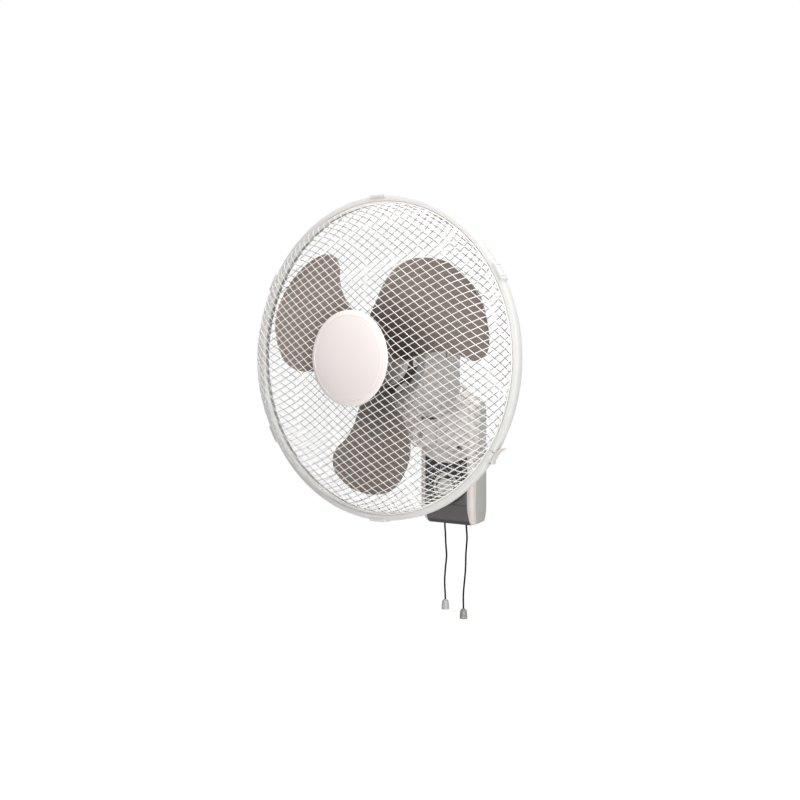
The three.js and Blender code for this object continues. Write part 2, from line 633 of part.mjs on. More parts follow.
{
  const armBack = shellFloor - SEAT_GAP;
  const side = new THREE.Shape();
  side.moveTo(armBack, ARM_LOW - 4);
  side.lineTo(armBack, ARM_HIGH + 4);
  side.lineTo(armBack - 5, ARM_HIGH + 4);
  side.lineTo(armBack - 9, ARM_HIGH);
  side.lineTo(PIVOT_Y + 6, PIVOT_Z + EAR_RADIUS);
  side.absarc(PIVOT_Y, PIVOT_Z, EAR_RADIUS, Math.PI / 2, 1.5 * Math.PI);
  side.lineTo(PIVOT_Y + 12, ARM_LOW);
  side.lineTo(armBack - 9, ARM_LOW);
  side.lineTo(armBack - 5, ARM_LOW - 4);
  const half = ARM_WIDTH / 2;
  const arm = prism("X", side, -half, half);
  const slotHalf = half - EAR_WALL;
  const tongueSlot = box([-slotHalf, PIVOT_Y - EAR_RADIUS - 5, 0],
    [slotHalf, PIVOT_Y + EAR_RADIUS + 6, 100]);
  const wireWay = prism("Y", roundedBox([-9, ARM_LOW + 7], [9, ARM_HIGH - 7], 4),
    PIVOT_Y, armBack + 5);
  const bore = rod("X", BOLT_RADIUS + SEAT_GAP, -60, 60);
  const headSink = rod("X", BOLT_HEAD_RADIUS + SEAT_GAP, half - BOLT_HEAD_HEIGHT, 60);
  const nutSink = rod("X", BOLT_HEAD_RADIUS + SEAT_GAP, -60, -half + BOLT_HEAD_HEIGHT);
  const boltWay = join(bore, headSink, nutSink).translate([0, PIVOT_Y, PIVOT_Z]);
  place(base, "tilt_bracket", cut(arm, tongueSlot, wireWay, boltWay), "lightGrey");

  const headFace = half - BOLT_HEAD_HEIGHT + SEAT_GAP;
  const hex = rod("X", 2.6, headFace + 1.2, 60, 6);
  const bolt = cut(join(
    rod("X", BOLT_RADIUS, -half + 0.6, headFace + 0.5),
    rod("X", BOLT_HEAD_RADIUS, headFace, half - 0.4),
  ), hex);
  place(base, "tilt_bolt", bolt.translate([0, PIVOT_Y, PIVOT_Z]), "steel");
  const nut = cut(rod("X", BOLT_HEAD_RADIUS - 0.4, -half + 0.4, -headFace, 6),
    rod("X", BOLT_RADIUS + SEAT_GAP, -60, 60));
  place(base, "tilt_nut", nut.translate([0, PIVOT_Y, PIVOT_Z]), "steel");
}

// ---------------------------------------------------------------- pull cords

// Each cord hangs nearly straight. Its points are x and y from the bush, and height.
const CORDS = {
  swing: {
    side: -1,
    points: [[0, 0, 0], [0.1, 0, -5], [0.6, -0.1, -11], [1.3, -0.3, -18], [1.8, -0.5, -26],
      [2.4, -0.7, -34], [3.2, -0.8, -42], [3.5, -0.6, -50], [2.7, -0.4, -58], [1.5, -0.2, -66],
      [0.6, 0, -74], [-0.2, 0.1, -82], [-0.4, 0.2, -90], [-0.1, 0.2, -98], [0.6, 0.1, -106],
      [1, 0, -114]],
    bell: "swing_bell",
  },
  speed: {
    side: 1,
    points: [[0, 0, 0], [0, 0, -5], [0.5, 0.1, -11], [0.9, 0.2, -17], [0.8, 0.3, -24],
      [0.1, 0.2, -32], [-0.6, 0.1, -40], [-1, 0, -48], [-1, -0.2, -56], [-1.2, -0.3, -64],
      [-1.9, -0.3, -73], [-2.8, -0.4, -82], [-3.8, -0.4, -91], [-4.7, -0.4, -100],
      [-5.2, -0.3, -108], [-5.2, -0.1, -116], [-5, 0, -124]],
    bell: "speed_bell",
  },
};
const bushMouth = flangeTopUnder(CORD_BUSH_RADIUS) - FLANGE_THICKNESS;
const cordStart = bushMouth - SEAT_GAP;

for (const [name, { side, points, bell }] of Object.entries(CORDS)) {
  const x = side * CORD_X;
  place(base, name + "_bush",
    flangedBush(CORD_RADIUS + BUSH_BORE_GAP, CORD_BUSH_RADIUS - 1.2 - SEAT_GAP, CORD_BUSH_RADIUS)
      .translate([x, CORD_Y, 0]), "black");
  place(base, name + "_cord_inner",
    rod("Z", CORD_RADIUS, cordStart + SEAT_GAP, SWITCH_BOTTOM - SEAT_GAP, 8)
      .translate([x, CORD_Y, 0]), "black");

  const route = new THREE.CatmullRomCurve3(
    points.map(([dx, dy, dz]) => new THREE.Vector3(x + dx, CORD_Y + dy, cordStart + dz)));
  const section = new THREE.Shape();
  section.absarc(0, 0, CORD_RADIUS, 0, 2 * Math.PI);
  place(base, name + "_cord", solid(new THREE.ExtrudeGeometry(section, {
    steps: points.length - 1,
    curveSegments: 4,
    extrudePath: route,
  })), "black");

  const [dx, dy, dz] = points.at(-1);
  const top = cordStart + dz - SEAT_GAP;
  const shell = revolve("Z", [
    [0, top], [2.2, top], [BELL_RADIUS - 1.4, top - 2.2], [BELL_RADIUS - 0.5, top - 5],
    [BELL_RADIUS, top - BELL_HEIGHT], [BELL_RADIUS - 1, top - BELL_HEIGHT],
    [BELL_RADIUS - 1.6, top - 6], [2.4, top - 4], [0, top - 4],
  ], SMALL_ROUND);
  place(base, bell, shell.translate([x + dx, CORD_Y + dy, 0]), "bell");
}

// ---------------------------------------------------------------- neck

// Heights above the tilt bolt, which is the neck group's origin.
const floorOutside = PIVOT_DROP + HOUSING_FLOOR; // the motor housing's underside
const floorInside = floorOutside + HOUSING_WALL;
const tableTop = floorOutside - RUN_GAP;
const flangeTop = floorInside + SEAT_GAP + BUSH_WALL;
const leverLow = flangeTop + RUN_GAP;
const LEVER_THICKNESS = 2.8;
const leverTop = leverLow + LEVER_THICKNESS;
const LINK_THICKNESS = 2.2;
const PAN_SCREW_HEAD = 2.3;
const panScrewTop = leverTop + SEAT_GAP + PAN_SCREW_HEAD;
const linkLow = panScrewTop + RUN_GAP; // the link sweeps over the pan screw's head
const linkTop = linkLow + LINK_THICKNESS;

{
  const half = ARM_WIDTH / 2 - EAR_WALL - SEAT_GAP;
  const side = new THREE.Shape();
  side.absarc(0, 0, NECK_RADIUS, Math.PI, 2 * Math.PI);
  side.lineTo(NECK_RADIUS, tableTop - TABLE_THICKNESS + 2);
  side.lineTo(-NECK_RADIUS, tableTop - TABLE_THICKNESS + 2);
  const tongue = prism("X", side, -half, half);
  const low = tableTop - TABLE_THICKNESS;
  const table = revolve("Z", [
    [0, low - 4], [TABLE_RADIUS - 8, low - 4],
    [TABLE_RADIUS, low + 2], [TABLE_RADIUS, tableTop], [SPIGOT_RADIUS, tableTop],
    [SPIGOT_RADIUS, leverLow - SEAT_GAP], [SPIGOT_RADIUS - 2, leverLow - SEAT_GAP],
    [SPIGOT_RADIUS - 2, leverTop - 0.2], [0, leverTop - 0.2],
  ], MOTOR_ROUND);
  const bore = rod("X", BOLT_RADIUS + RUN_GAP, -half - 1, half + 1);
  const screwBore = rod("Z", SCREW_RADIUS + SEAT_GAP, leverTop - 14, leverTop + 5, 12);
  place(neckGroup, "neck", cut(join(tongue, table), bore, screwBore), "lightGrey");

  const lever = prism("Z", slot([0, 0], [LEVER_REACH, 0], 6.8), leverLow, leverTop);
  const pin = rod("Z", LINK_PIN_RADIUS, leverTop - 1, linkTop + 0.8)
    .translate([LEVER_REACH, 0, 0]);
  const eye = rod("Z", SPIGOT_RADIUS - 2 + SEAT_GAP, leverLow - 1, leverTop + 1);
  place(neckGroup, "swing_lever", cut(join(lever, pin), eye), "steel");

  place(neckGroup, "pan_screw", join(
    rod("Z", 5, leverTop + SEAT_GAP, panScrewTop, 12),
    rod("Z", SCREW_RADIUS, leverTop - 12, leverTop + 1, 12),
  ), "steel");

  const outline = slot([LEVER_REACH, 0], [LEVER_REACH, CRANK_BEHIND], 4);
  const eyes = [0, CRANK_BEHIND].map((y) =>
    rod("Z", LINK_PIN_RADIUS + SEAT_GAP, linkLow - 1, linkTop + 1)
      .translate([LEVER_REACH, y, 0]));
  place(neckGroup, "swing_link", cut(prism("Z", outline, linkLow, linkTop), ...eyes), "steel");
}

// ---------------------------------------------------------------- motor housing

// From here on lengths are from the guard ring's plane and heights from the fan axis.
// Upright outlines of the housing: depth, half width, top, bottom.
const HOUSING_REAR_WIDE = 95; // from here the housing narrows towards its back
const SLOT_PITCH = 10;
const SLOT_WIDTH = 4.8;
const SIDE_SLOT = [-2, 30]; // the side slots' ends, from the fan axis
const HOUSING = [
  [HOUSING_FRONT, 38, 40, HOUSING_FLOOR + 8],
  [HOUSING_FRONT + 5, 43, 46, HOUSING_FLOOR + 2.5],
  [HOUSING_SPLIT, 49, 52, HOUSING_FLOOR],
  [HOUSING_REAR_WIDE, 51, 53, HOUSING_FLOOR],
  [HOUSING_REAR_WIDE + 21, 49, 51, HOUSING_FLOOR + 2],
  [HOUSING_REAR_WIDE + 35, 43, 45, HOUSING_FLOOR + 9],
  [HOUSING_REAR_WIDE + 45, 33, 35, HOUSING_FLOOR + 20],
  [HOUSING_REAR_WIDE + 51, 21, 24, HOUSING_FLOOR + 33],
  [HOUSING_REAR_WIDE + 53, 12, 15, HOUSING_FLOOR + 42],
];
const HOUSING_LENGTH = HOUSING.at(-1)[0];

// An arch: half an ellipse over two upright sides and a flat floor with round corners.
function archRing(halfWidth, top, bottom, depth) {
  const ring = [];
  const steps = 8;
  for (let i = 0; i <= steps; i++) {
    const a = (Math.PI * i) / steps;
    ring.push(new THREE.Vector3(halfWidth * Math.cos(a), depth, top * Math.sin(a)));
  }
  const r = Math.min(20, halfWidth * 0.5, -bottom * 0.5);
  for (const [side, start] of [[-1, 180], [1, 270]])
    for (let i = 0; i <= CORNER_STEPS; i++) {
      const a = rad(start + (i * 90) / CORNER_STEPS);
      ring.push(new THREE.Vector3(side * (halfWidth - r) + r * Math.cos(a), depth,
        bottom + r + r * Math.sin(a)));
    }
  return ring;
}

const housingBody = (inset) => loft(HOUSING.map(([depth, halfWidth, top, bottom], k) => {
  const end = k === 0 ? inset : k === HOUSING.length - 1 ? -inset : 0;
  return archRing(halfWidth - inset, top - inset, bottom + inset, depth + end);
}));
const housingShell = cut(housingBody(0), housingBody(HOUSING_WALL));
const FAR = 300;
const panAxisY = PIVOT_TO_RING;
const swingCentre = panAxisY + CRANK_BEHIND;
const swingMotorBase = linkTop - PIVOT_DROP + 5.2; // underside of the swing motor
const SWING_EAR = 25; // from the swing motor's centre to its screws

{
  const ahead = box([-FAR, -FAR, -FAR], [FAR, HOUSING_SPLIT - SEAT_GAP / 2, FAR]);
  const mouth = rod("Y", BOSS_RADIUS - BOSS_WALL, -5, HOUSING_FRONT + 5, MIDDLE_ROUND);
  const boss = tube("Y", BOSS_RADIUS - BOSS_WALL, BOSS_RADIUS,
    HOUSING_FRONT - GUARD_PLATE - NUT_LENGTH - 1, HOUSING_FRONT + HOUSING_WALL, MIDDLE_ROUND);
  const vents = [...Array(8).keys()].map((k) =>
    box([27, HOUSING_FRONT - 1, -2], [36, HOUSING_FRONT + 4, 2]).rotate([0, k * 45 + 22.5, 0]));
  place(head, "housing_front",
    cut(join(common(housingShell, ahead), boss), mouth, ...vents), "lightGrey");
}

{
  const behind = box([-FAR, HOUSING_SPLIT + SEAT_GAP / 2, -FAR], [FAR, FAR, FAR]);
  const bushHole = rod("Z", SPIGOT_RADIUS + RUN_GAP + BUSH_WALL, HOUSING_FLOOR - 3,
    HOUSING_FLOOR + 6).translate([0, panAxisY, 0]);
  const posts = [-SWING_EAR, SWING_EAR].map((x) =>
    rod("Z", 3.5, HOUSING_FLOOR + 1, swingMotorBase - SEAT_GAP, 12)
      .translate([x, swingCentre + 2, 0]));
  const sideSlots = [...Array(4).keys()].map((k) => {
    const at = HOUSING_REAR_WIDE - 13 + SLOT_PITCH * k;
    return box([-FAR, at, SIDE_SLOT[0]], [FAR, at + SLOT_WIDTH, SIDE_SLOT[1]]);
  });
  const rearSlots = [-1, 0, 1].map((k) =>
    box([SLOT_PITCH * k - SLOT_WIDTH / 2, HOUSING_LENGTH - 25, -22],
      [SLOT_PITCH * k + SLOT_WIDTH / 2, FAR, 14]));
  place(head, "housing_rear",
    cut(join(common(housingShell, behind), ...posts), bushHole, ...sideSlots, ...rearSlots),
    "lightGrey");
}

place(head, "pan_bush", revolve("Z", [
  [SPIGOT_RADIUS + RUN_GAP, floorOutside + 0.2],
  [SPIGOT_RADIUS + RUN_GAP + BUSH_WALL - SEAT_GAP, floorOutside + 0.2],
  [SPIGOT_RADIUS + RUN_GAP + BUSH_WALL - SEAT_GAP, floorInside + SEAT_GAP],
  [BUSH_FLANGE, floorInside + SEAT_GAP], [BUSH_FLANGE, flangeTop],
  [SPIGOT_RADIUS + RUN_GAP, flangeTop],
], SMALL_ROUND).translate([0, panAxisY, -PIVOT_DROP]), "white");

// ---------------------------------------------------------------- motor

const stator = { front: STATOR_FRONT, back: STATOR_FRONT + STATOR_LENGTH };
const bracketRim = STATOR_RADIUS + 0.5;
{
  const bore = ROTOR_RADIUS + AIR_GAP;
  place(head, "stator_core",
    tube("Y", bore, STATOR_RADIUS, stator.front, stator.back, MOTOR_ROUND), "steel");
  const coil = (from, to) =>
    revolve("Y", [
      [bore + 1.5, from], [STATOR_RADIUS - 3.5, from], [STATOR_RADIUS - 2.5, (from + to) / 2],
      [STATOR_RADIUS - 3.5, to], [bore + 1.5, to], [bore + 0.8, (from + to) / 2],
    ], MOTOR_ROUND);
  place(head, "winding_front",
    coil(stator.front - SEAT_GAP - COIL_LENGTH, stator.front - SEAT_GAP), "copper");
  place(head, "winding_rear",
    coil(stator.back + SEAT_GAP, stator.back + SEAT_GAP + COIL_LENGTH), "copper");
}

// The two end brackets are bowls that hold the stator between them and a bearing each.
// The profile runs from the outer end of the bearing seat to the rim at the stator.
function endBracket(outer, rim, sign) {
  const seat = BEARING_RADIUS + SEAT_GAP;
  return revolve("Y", [
    [seat, outer], [BOSS_RADIUS + 2, outer], [bracketRim + 1, outer + sign * 9],
    [bracketRim + 1, rim], [STATOR_RADIUS - 2, rim], [STATOR_RADIUS - 2, outer + sign * 11],
    [BOSS_RADIUS, outer + sign * BRACKET_WALL], [seat + 3, outer + sign * BRACKET_WALL],
    [seat + 3, outer + sign * (BEARING_LENGTH + 1)],
    [seat, outer + sign * (BEARING_LENGTH + 1)],
  ], MOTOR_ROUND);
}
const frontSeat = HOUSING_FRONT + HOUSING_WALL + SEAT_GAP;
const rearSeat = stator.back + REAR_BOWL;
place(head, "motor_bracket_front", endBracket(frontSeat, stator.front - SEAT_GAP, 1), "steel");
place(head, "motor_bracket_rear", endBracket(rearSeat, stator.back + SEAT_GAP, -1), "steel");

const bearing = (from) =>
  tube("Y", SHAFT_RADIUS + RUN_GAP, BEARING_RADIUS, from, from + BEARING_LENGTH);
place(head, "front_bearing", bearing(frontSeat + 0.5), "brass");
place(head, "rear_bearing", bearing(rearSeat - 0.5 - BEARING_LENGTH), "brass");

{
  const ear = prism("Z", slot([-SWING_EAR, 2], [SWING_EAR, 2], 4), swingMotorBase,
    swingMotorBase + 1.4);
  const can = revolve("Z", [
    [0, swingMotorBase], [SWING_MOTOR_RADIUS, swingMotorBase],
    [SWING_MOTOR_RADIUS, swingMotorBase + SWING_MOTOR_HEIGHT - 1],
    [SWING_MOTOR_RADIUS - 1, swingMotorBase + SWING_MOTOR_HEIGHT],
    [0, swingMotorBase + SWING_MOTOR_HEIGHT],
  ], MOTOR_ROUND).translate([0, 4, 0]);
  place(head, "swing_motor", join(ear, can).translate([0, swingCentre, 0]), "steel");

  const discTop = swingMotorBase - RUN_GAP;
  const crankX = LEVER_REACH - CRANK_THROW;
  const disc = rod("Z", CRANK_RADIUS, discTop - 3, discTop, MOTOR_ROUND);
  const pin = rod("Z", LINK_PIN_RADIUS, linkTop - PIVOT_DROP + RUN_GAP, discTop - 1)
    .translate([CRANK_THROW, 0, 0]);
  place(head, "swing_crank", join(disc, pin).translate([crankX, swingCentre, 0]), "white");
}

// ---------------------------------------------------------------- rotor and blades

const shaftFront = BLADE_PLANE - HUB_LENGTH / 2 - 4;
const shaftBack = rearSeat + 1.5;
place(head, "rotor_shaft",
  cut(rod("Y", SHAFT_RADIUS, shaftFront, shaftBack),
    box([-FAR, shaftFront - 1, SHAFT_RADIUS - 1], [FAR, shaftFront + 18, FAR])), "steel");
place(head, "rotor_core",
  revolve("Y", [
    [SHAFT_RADIUS + SEAT_GAP, stator.front - 3], [15, stator.front - 3],
    [ROTOR_RADIUS, stator.front], [ROTOR_RADIUS, stator.back],
    [15, stator.back + 3], [SHAFT_RADIUS + SEAT_GAP, stator.back + 3],
  ], MOTOR_ROUND), "steel");

// The blade's outline: share of the way from the root to the tip, then degrees from its
// own axis to the trailing edge and to the leading edge. Smooth curves run between.
const BLADE_ROOT = HUB_RADIUS - 4; // inside the hub's wall
const BLADE_OUTLINE = [
  [0, 48, 40],
  [0.148, 44, 31],
  [0.295, 40.5, 28.5],
  [0.443, 38.5, 27.6],
  [0.604, 34.5, 29.8],
  [0.758, 27.6, 33.9],
  [0.872, 19, 32.6],
  [0.94, 12.6, 28.5],
  [0.98, 6, 20.5],
  [1, -3.5, 9],
];
const edge = (column) => new THREE.CatmullRomCurve3(BLADE_OUTLINE.map((row) =>
  new THREE.Vector3(THREE.MathUtils.lerp(BLADE_ROOT, BLADE_TIP, row[0]), row[column], 0)),
false, "chordal");

// One blade as a skin through closed sections at rising radii.
function blade() {
  const [trailing, leading] = [edge(1), edge(2)];
  const stations = 10;
  const chordSteps = 4;
  const rings = [];
  for (let k = 0; k <= stations; k++) {
    const share = k / stations;
    const t = trailing.getPoint(share);
    const l = leading.getPoint(share);
    const radius = (t.x + l.x) / 2;
    const ring = [];
    for (const face of [-1, 1])
      for (let i = 0; i < chordSteps; i++) {
        const across = face < 0 ? i / chordSteps : 1 - i / chordSteps; // 0 trailing, 1 leading
        const angle = THREE.MathUtils.lerp(rad(t.y), -rad(l.y), across);
        const middle = 1 - (2 * across - 1) ** 2;
        const half = BLADE_THICKNESS * (0.22 + 0.28 * middle);
        const y = BLADE_PLANE - BLADE_PITCH * angle + BLADE_CAMBER * middle * share + face * half;
        const a = rad(BLADE_PHASE) + angle;
        ring.push(new THREE.Vector3(radius * Math.cos(a), y, radius * Math.sin(a)));
      }
    rings.push(ring);
  }
  return loft(rings);
}

{
  const front = BLADE_PLANE - HUB_LENGTH / 2;
  const back = front + HUB_LENGTH;
  const cup = revolve("Y", [
    [SHAFT_RADIUS + SEAT_GAP, front], [HUB_RADIUS - 8, front],
    [HUB_RADIUS, front + 7], [HUB_RADIUS, back], [HUB_RADIUS - HUB_WALL, back],
    [HUB_RADIUS - HUB_WALL, front + 8], [HUB_RADIUS - 9, front + HUB_WALL],
    [9, front + HUB_WALL], [9, back - 8], [SHAFT_RADIUS + SEAT_GAP, back - 8],
  ], MIDDLE_ROUND);
  const inside = rod("Y", HUB_RADIUS - HUB_WALL, front + 10, back + 20, MIDDLE_ROUND);
  const single = cut(blade(), inside);
  const blades = [...Array(BLADE_COUNT).keys()].map((k) =>
    single.rotate([0, (-k * 360) / BLADE_COUNT, 0]));
  place(head, "blade_set", join(cup, ...blades), "taupe");

  const nutBack = front - SEAT_GAP;
  const nut = revolve("Y", [
    [0, nutBack - SPINNER_LENGTH], [6, nutBack - SPINNER_LENGTH + 0.8],
    [SPINNER_RADIUS - 5, nutBack - SPINNER_LENGTH + 4], [SPINNER_RADIUS, nutBack - 4],
    [SPINNER_RADIUS, nutBack], [SHAFT_RADIUS + SEAT_GAP, nutBack],
    [SHAFT_RADIUS + SEAT_GAP, nutBack - 6], [0, nutBack - 6],
  ], 16);
  const grips = [...Array(6).keys()].map((k) =>
    rod("Y", 2, nutBack - 20, nutBack + 1, 6).translate([SPINNER_RADIUS + 0.8, 0, 0])
      .rotate([0, k * 60, 0]));
  place(head, "spinner", cut(nut, ...grips), "darkGrey");
}

// ---------------------------------------------------------------- guards

const RIM_OUTSIDE = RING_RADIUS - RING_WALL - SEAT_GAP;
const RIM_INSIDE = RIM_OUTSIDE - RIM_DEPTH;
const RIM_THICKNESS = RING_WIDTH / 2 - RING_LIP - 1.5 * SEAT_GAP;

// A guard of crossing bars pressed into a dish. The bars are laid out on a flat sheet
// whose radius is the arc length along the dish, then lifted onto it. The profile's
// points are radius and depth, from the middle to the rim. The bars' ridges face outwards.
function barGuard(profile, outwards, shoulderArc, rim, hub) {
  const curve = new THREE.SplineCurve(profile.map(([r, d]) => new THREE.Vector2(r, d)));
  const inner = profile[0][0];
  const outer = inner + curve.getLength();
  const half = BAR_WIDTH / 2;
  const clear = 1.2 * BAR_WIDTH; // a crossing keeps this far off both rims
  const positions = [];
  const index = [];
  const quad = (p, q, r, t) => index.push(p, q, r, p, r, t);

  // A point over one point of the sheet, whose axes lie at 45 degrees to the fan's. Its
  // side is 1 on the ridge and -1 on the flat.
  function point(a, b, side) {
    const rho = Math.hypot(a, b);
    const along = THREE.MathUtils.clamp((rho - inner) / (outer - inner), 0, 1);
    const at = curve.getPointAt(along);
    const tangent = curve.getTangentAt(along);
    const past = rho - inner - along * (outer - inner);
    const lift = (outwards * side * BAR_THICKNESS) / 2;
    const r = at.x + tangent.x * past - tangent.y * lift;
    const d = at.y + tangent.y * past + tangent.x * lift;
    positions.push((r * (a - b) * Math.SQRT1_2) / rho, d, (r * (a + b) * Math.SQRT1_2) / rho);
    return positions.length / 3 - 1;
  }

  // The three faces of a bar between two sections. A section is its left and right
  // points on the flat and its ridge point.
  function bar([p, q, ridge], [r, t, farRidge]) {
    quad(p, q, t, r);
    quad(ridge, p, r, farRidge);
    quad(q, ridge, farRidge, t);
  }

  // Crossings. One that would half touch a rim is drawn in clear of it.
  const crossings = new Map();
  const reach = Math.ceil(outer / GUARD_PITCH) + 1;
  for (let i = -reach; i <= reach; i++)
    for (let j = -reach; j <= reach; j++) {
      const [a, b] = [(i + 0.5) * GUARD_PITCH, (j + 0.5) * GUARD_PITCH];
      const rho = Math.hypot(a, b);
      if (rho > outer + clear || rho < inner - clear) continue;
      const share = THREE.MathUtils.clamp(rho, inner + clear, outer - clear) / rho;
      const middle = [a * share, b * share];
      const corners = [[1, -1], [1, 1], [-1, 1], [-1, -1]].map(([p, q]) =>
        point(middle[0] + p * half, middle[1] + q * half, -1));
      crossings.set(i + "," + j, { i, j, middle, corners, top: point(...middle, 1) });
    }

  // Bars leave each crossing in four directions: the step in i and j, the two corners
  // that a bar starts from and the two that it meets on the next crossing.
  const DIRECTIONS = [
    [1, 0, [0, 1], [3, 2]],
    [0, 1, [1, 2], [0, 3]],
    [-1, 0, [2, 3], [1, 0]],
    [0, -1, [3, 0], [2, 1]],
  ];
  const section = (crossing, corners) => [...corners.map((k) => crossing.corners[k]), crossing.top];
  for (const crossing of crossings.values()) {
    const { i, j, middle, corners } = crossing;
    quad(...corners.toReversed());
    for (const [di, dj, from, to] of DIRECTIONS) {
      const start = section(crossing, from);
      const next = crossings.get(i + di + "," + (j + dj));
      if (next && di + dj < 0) continue; // the other crossing makes this bar
      if (next) {
        const end = section(next, to);
        const halfway = middle.map((m, k) => (m + next.middle[k]) / 2);
        if (Math.hypot(...halfway) < outer - shoulderArc) bar(start, end);
        else {
          const bend = [[-half, -1], [half, -1], [0, 1]].map(([o, side]) =>
            point(halfway[0] - dj * o, halfway[1] + di * o, side));
          bar(start, bend);
          bar(bend, end);
        }
        continue;
      }
      // The last bar runs into a rim: each edge ends on a circle inside the rim's solid.
      const axis = di ? 0 : 1;
      const outward = Math.sign(middle[axis]) === di + dj;
      const circle = outward ? outer + 1 : inner - 1;
      const end = [[-half, -1], [half, -1], [0, 1]].map(([o, side]) => {
        const level = middle[1 - axis] + (di - dj) * o;
        const run = Math.sign(middle[axis]) * Math.sqrt(circle ** 2 - level ** 2);
        return axis === 0 ? point(run, level, side) : point(level, run, side);
      });
      bar(start, end);
      index.push(end[2], end[0], end[1]);
    }
  }
  const geometry = new THREE.BufferGeometry();
  geometry.setAttribute("position", new THREE.Float32BufferAttribute(positions, 3));
  geometry.setIndex(index);
  return join(solid(geometry), rim, hub);
}

const guardRim = (from, to) => tube("Y", RIM_INSIDE, RIM_OUTSIDE, from, to, LARGE_ROUND);
const wallRadius = RIM_INSIDE + BAR_THICKNESS / 2; // the bars' middle at the rim

{
  const rimBack = -SEAT_GAP / 2;
  const front = -FRONT_GUARD_DEPTH;
  const profile = [
    [GUARD_HUB_RADIUS, front], [wallRadius * 0.407, front + FRONT_GUARD_DEPTH * 0.025],
    [wallRadius * 0.575, front + FRONT_GUARD_DEPTH * 0.078],
    [wallRadius * 0.728, front + FRONT_GUARD_DEPTH * 0.164],
    [wallRadius * 0.862, front + FRONT_GUARD_DEPTH * 0.297],
    [wallRadius * 0.934, front / 2], [wallRadius * 0.977, front * 0.281],
    [wallRadius, rimBack - 2],
  ];
  const hub = tube("Y", GUARD_HUB_RADIUS - 6, GUARD_HUB_RADIUS + 2,
    front - 1.6, front + 1.6, MIDDLE_ROUND);
  const rim = guardRim(rimBack - RIM_THICKNESS, rimBack);
  place(head, "front_guard", barGuard(profile, -1, SHOULDER_ARC, rim, hub), "white");

  const badgeBack = front - 1.6 - SEAT_GAP;
  const crown = badgeBack - BADGE_CROWN;
  place(head, "hub_badge", revolve("Y", [
    [0, crown], [26, crown + 0.8], [BADGE_RADIUS - 9, crown + 4.4],
    [BADGE_RADIUS - 2, badgeBack - 2], [BADGE_RADIUS, badgeBack],
    [GUARD_HUB_RADIUS - 5, badgeBack], [30, crown + 1 + BADGE_THICKNESS],
    [0, crown + BADGE_THICKNESS],
  ], 32), "white");
}

{
  const rimFront = SEAT_GAP / 2;
  const plateFront = HOUSING_FRONT - SEAT_GAP - GUARD_PLATE;
  const flat = plateFront + GUARD_PLATE - BAR_THICKNESS / 2;
  const profile = [
    [GUARD_HUB_RADIUS, flat], [wallRadius * 0.369, flat],
    [wallRadius * 0.479, flat + (REAR_GUARD_DEPTH - flat) * 0.35],
    [wallRadius * 0.622, flat + (REAR_GUARD_DEPTH - flat) * 0.8],
    [wallRadius * 0.766, REAR_GUARD_DEPTH], [wallRadius * 0.881, REAR_GUARD_DEPTH * 0.889],
    [wallRadius * 0.953, REAR_GUARD_DEPTH * 0.593], [wallRadius, rimFront + 2],
  ];
  const plate = tube("Y", BOSS_RADIUS + SEAT_GAP, GUARD_HUB_RADIUS + 2, plateFront,
    plateFront + GUARD_PLATE, MIDDLE_ROUND);
  const vents = [...Array(6).keys()].map((k) =>
    prism("Y", slot([46, -8], [46, 8], 4), plateFront - 3, plateFront + 6)
      .rotate([0, k * 60, 0]));
  place(head, "rear_guard",
    barGuard(profile, 1, 0, guardRim(rimFront, rimFront + RIM_THICKNESS), cut(plate, ...vents)),
    "white");

  const nutBack = plateFront - SEAT_GAP;
  const nut = revolve("Y", [
    [BOSS_RADIUS + SEAT_GAP, nutBack], [NUT_RADIUS, nutBack], [NUT_RADIUS, nutBack - 3],
    [NUT_RADIUS - 1.5, nutBack - NUT_LENGTH], [BOSS_RADIUS + SEAT_GAP, nutBack - NUT_LENGTH],
  ], MIDDLE_ROUND);
  const notches = [...Array(6).keys()].map((k) =>
    rod("Y", 3, nutBack - 20, nutBack - 1.5, 6).translate([NUT_RADIUS + 0.6, 0, 0])
      .rotate([0, k * 60, 0]));
  place(head, "guard_nut", cut(nut, ...notches), "white");
}

// ---------------------------------------------------------------- guard ring and its clip

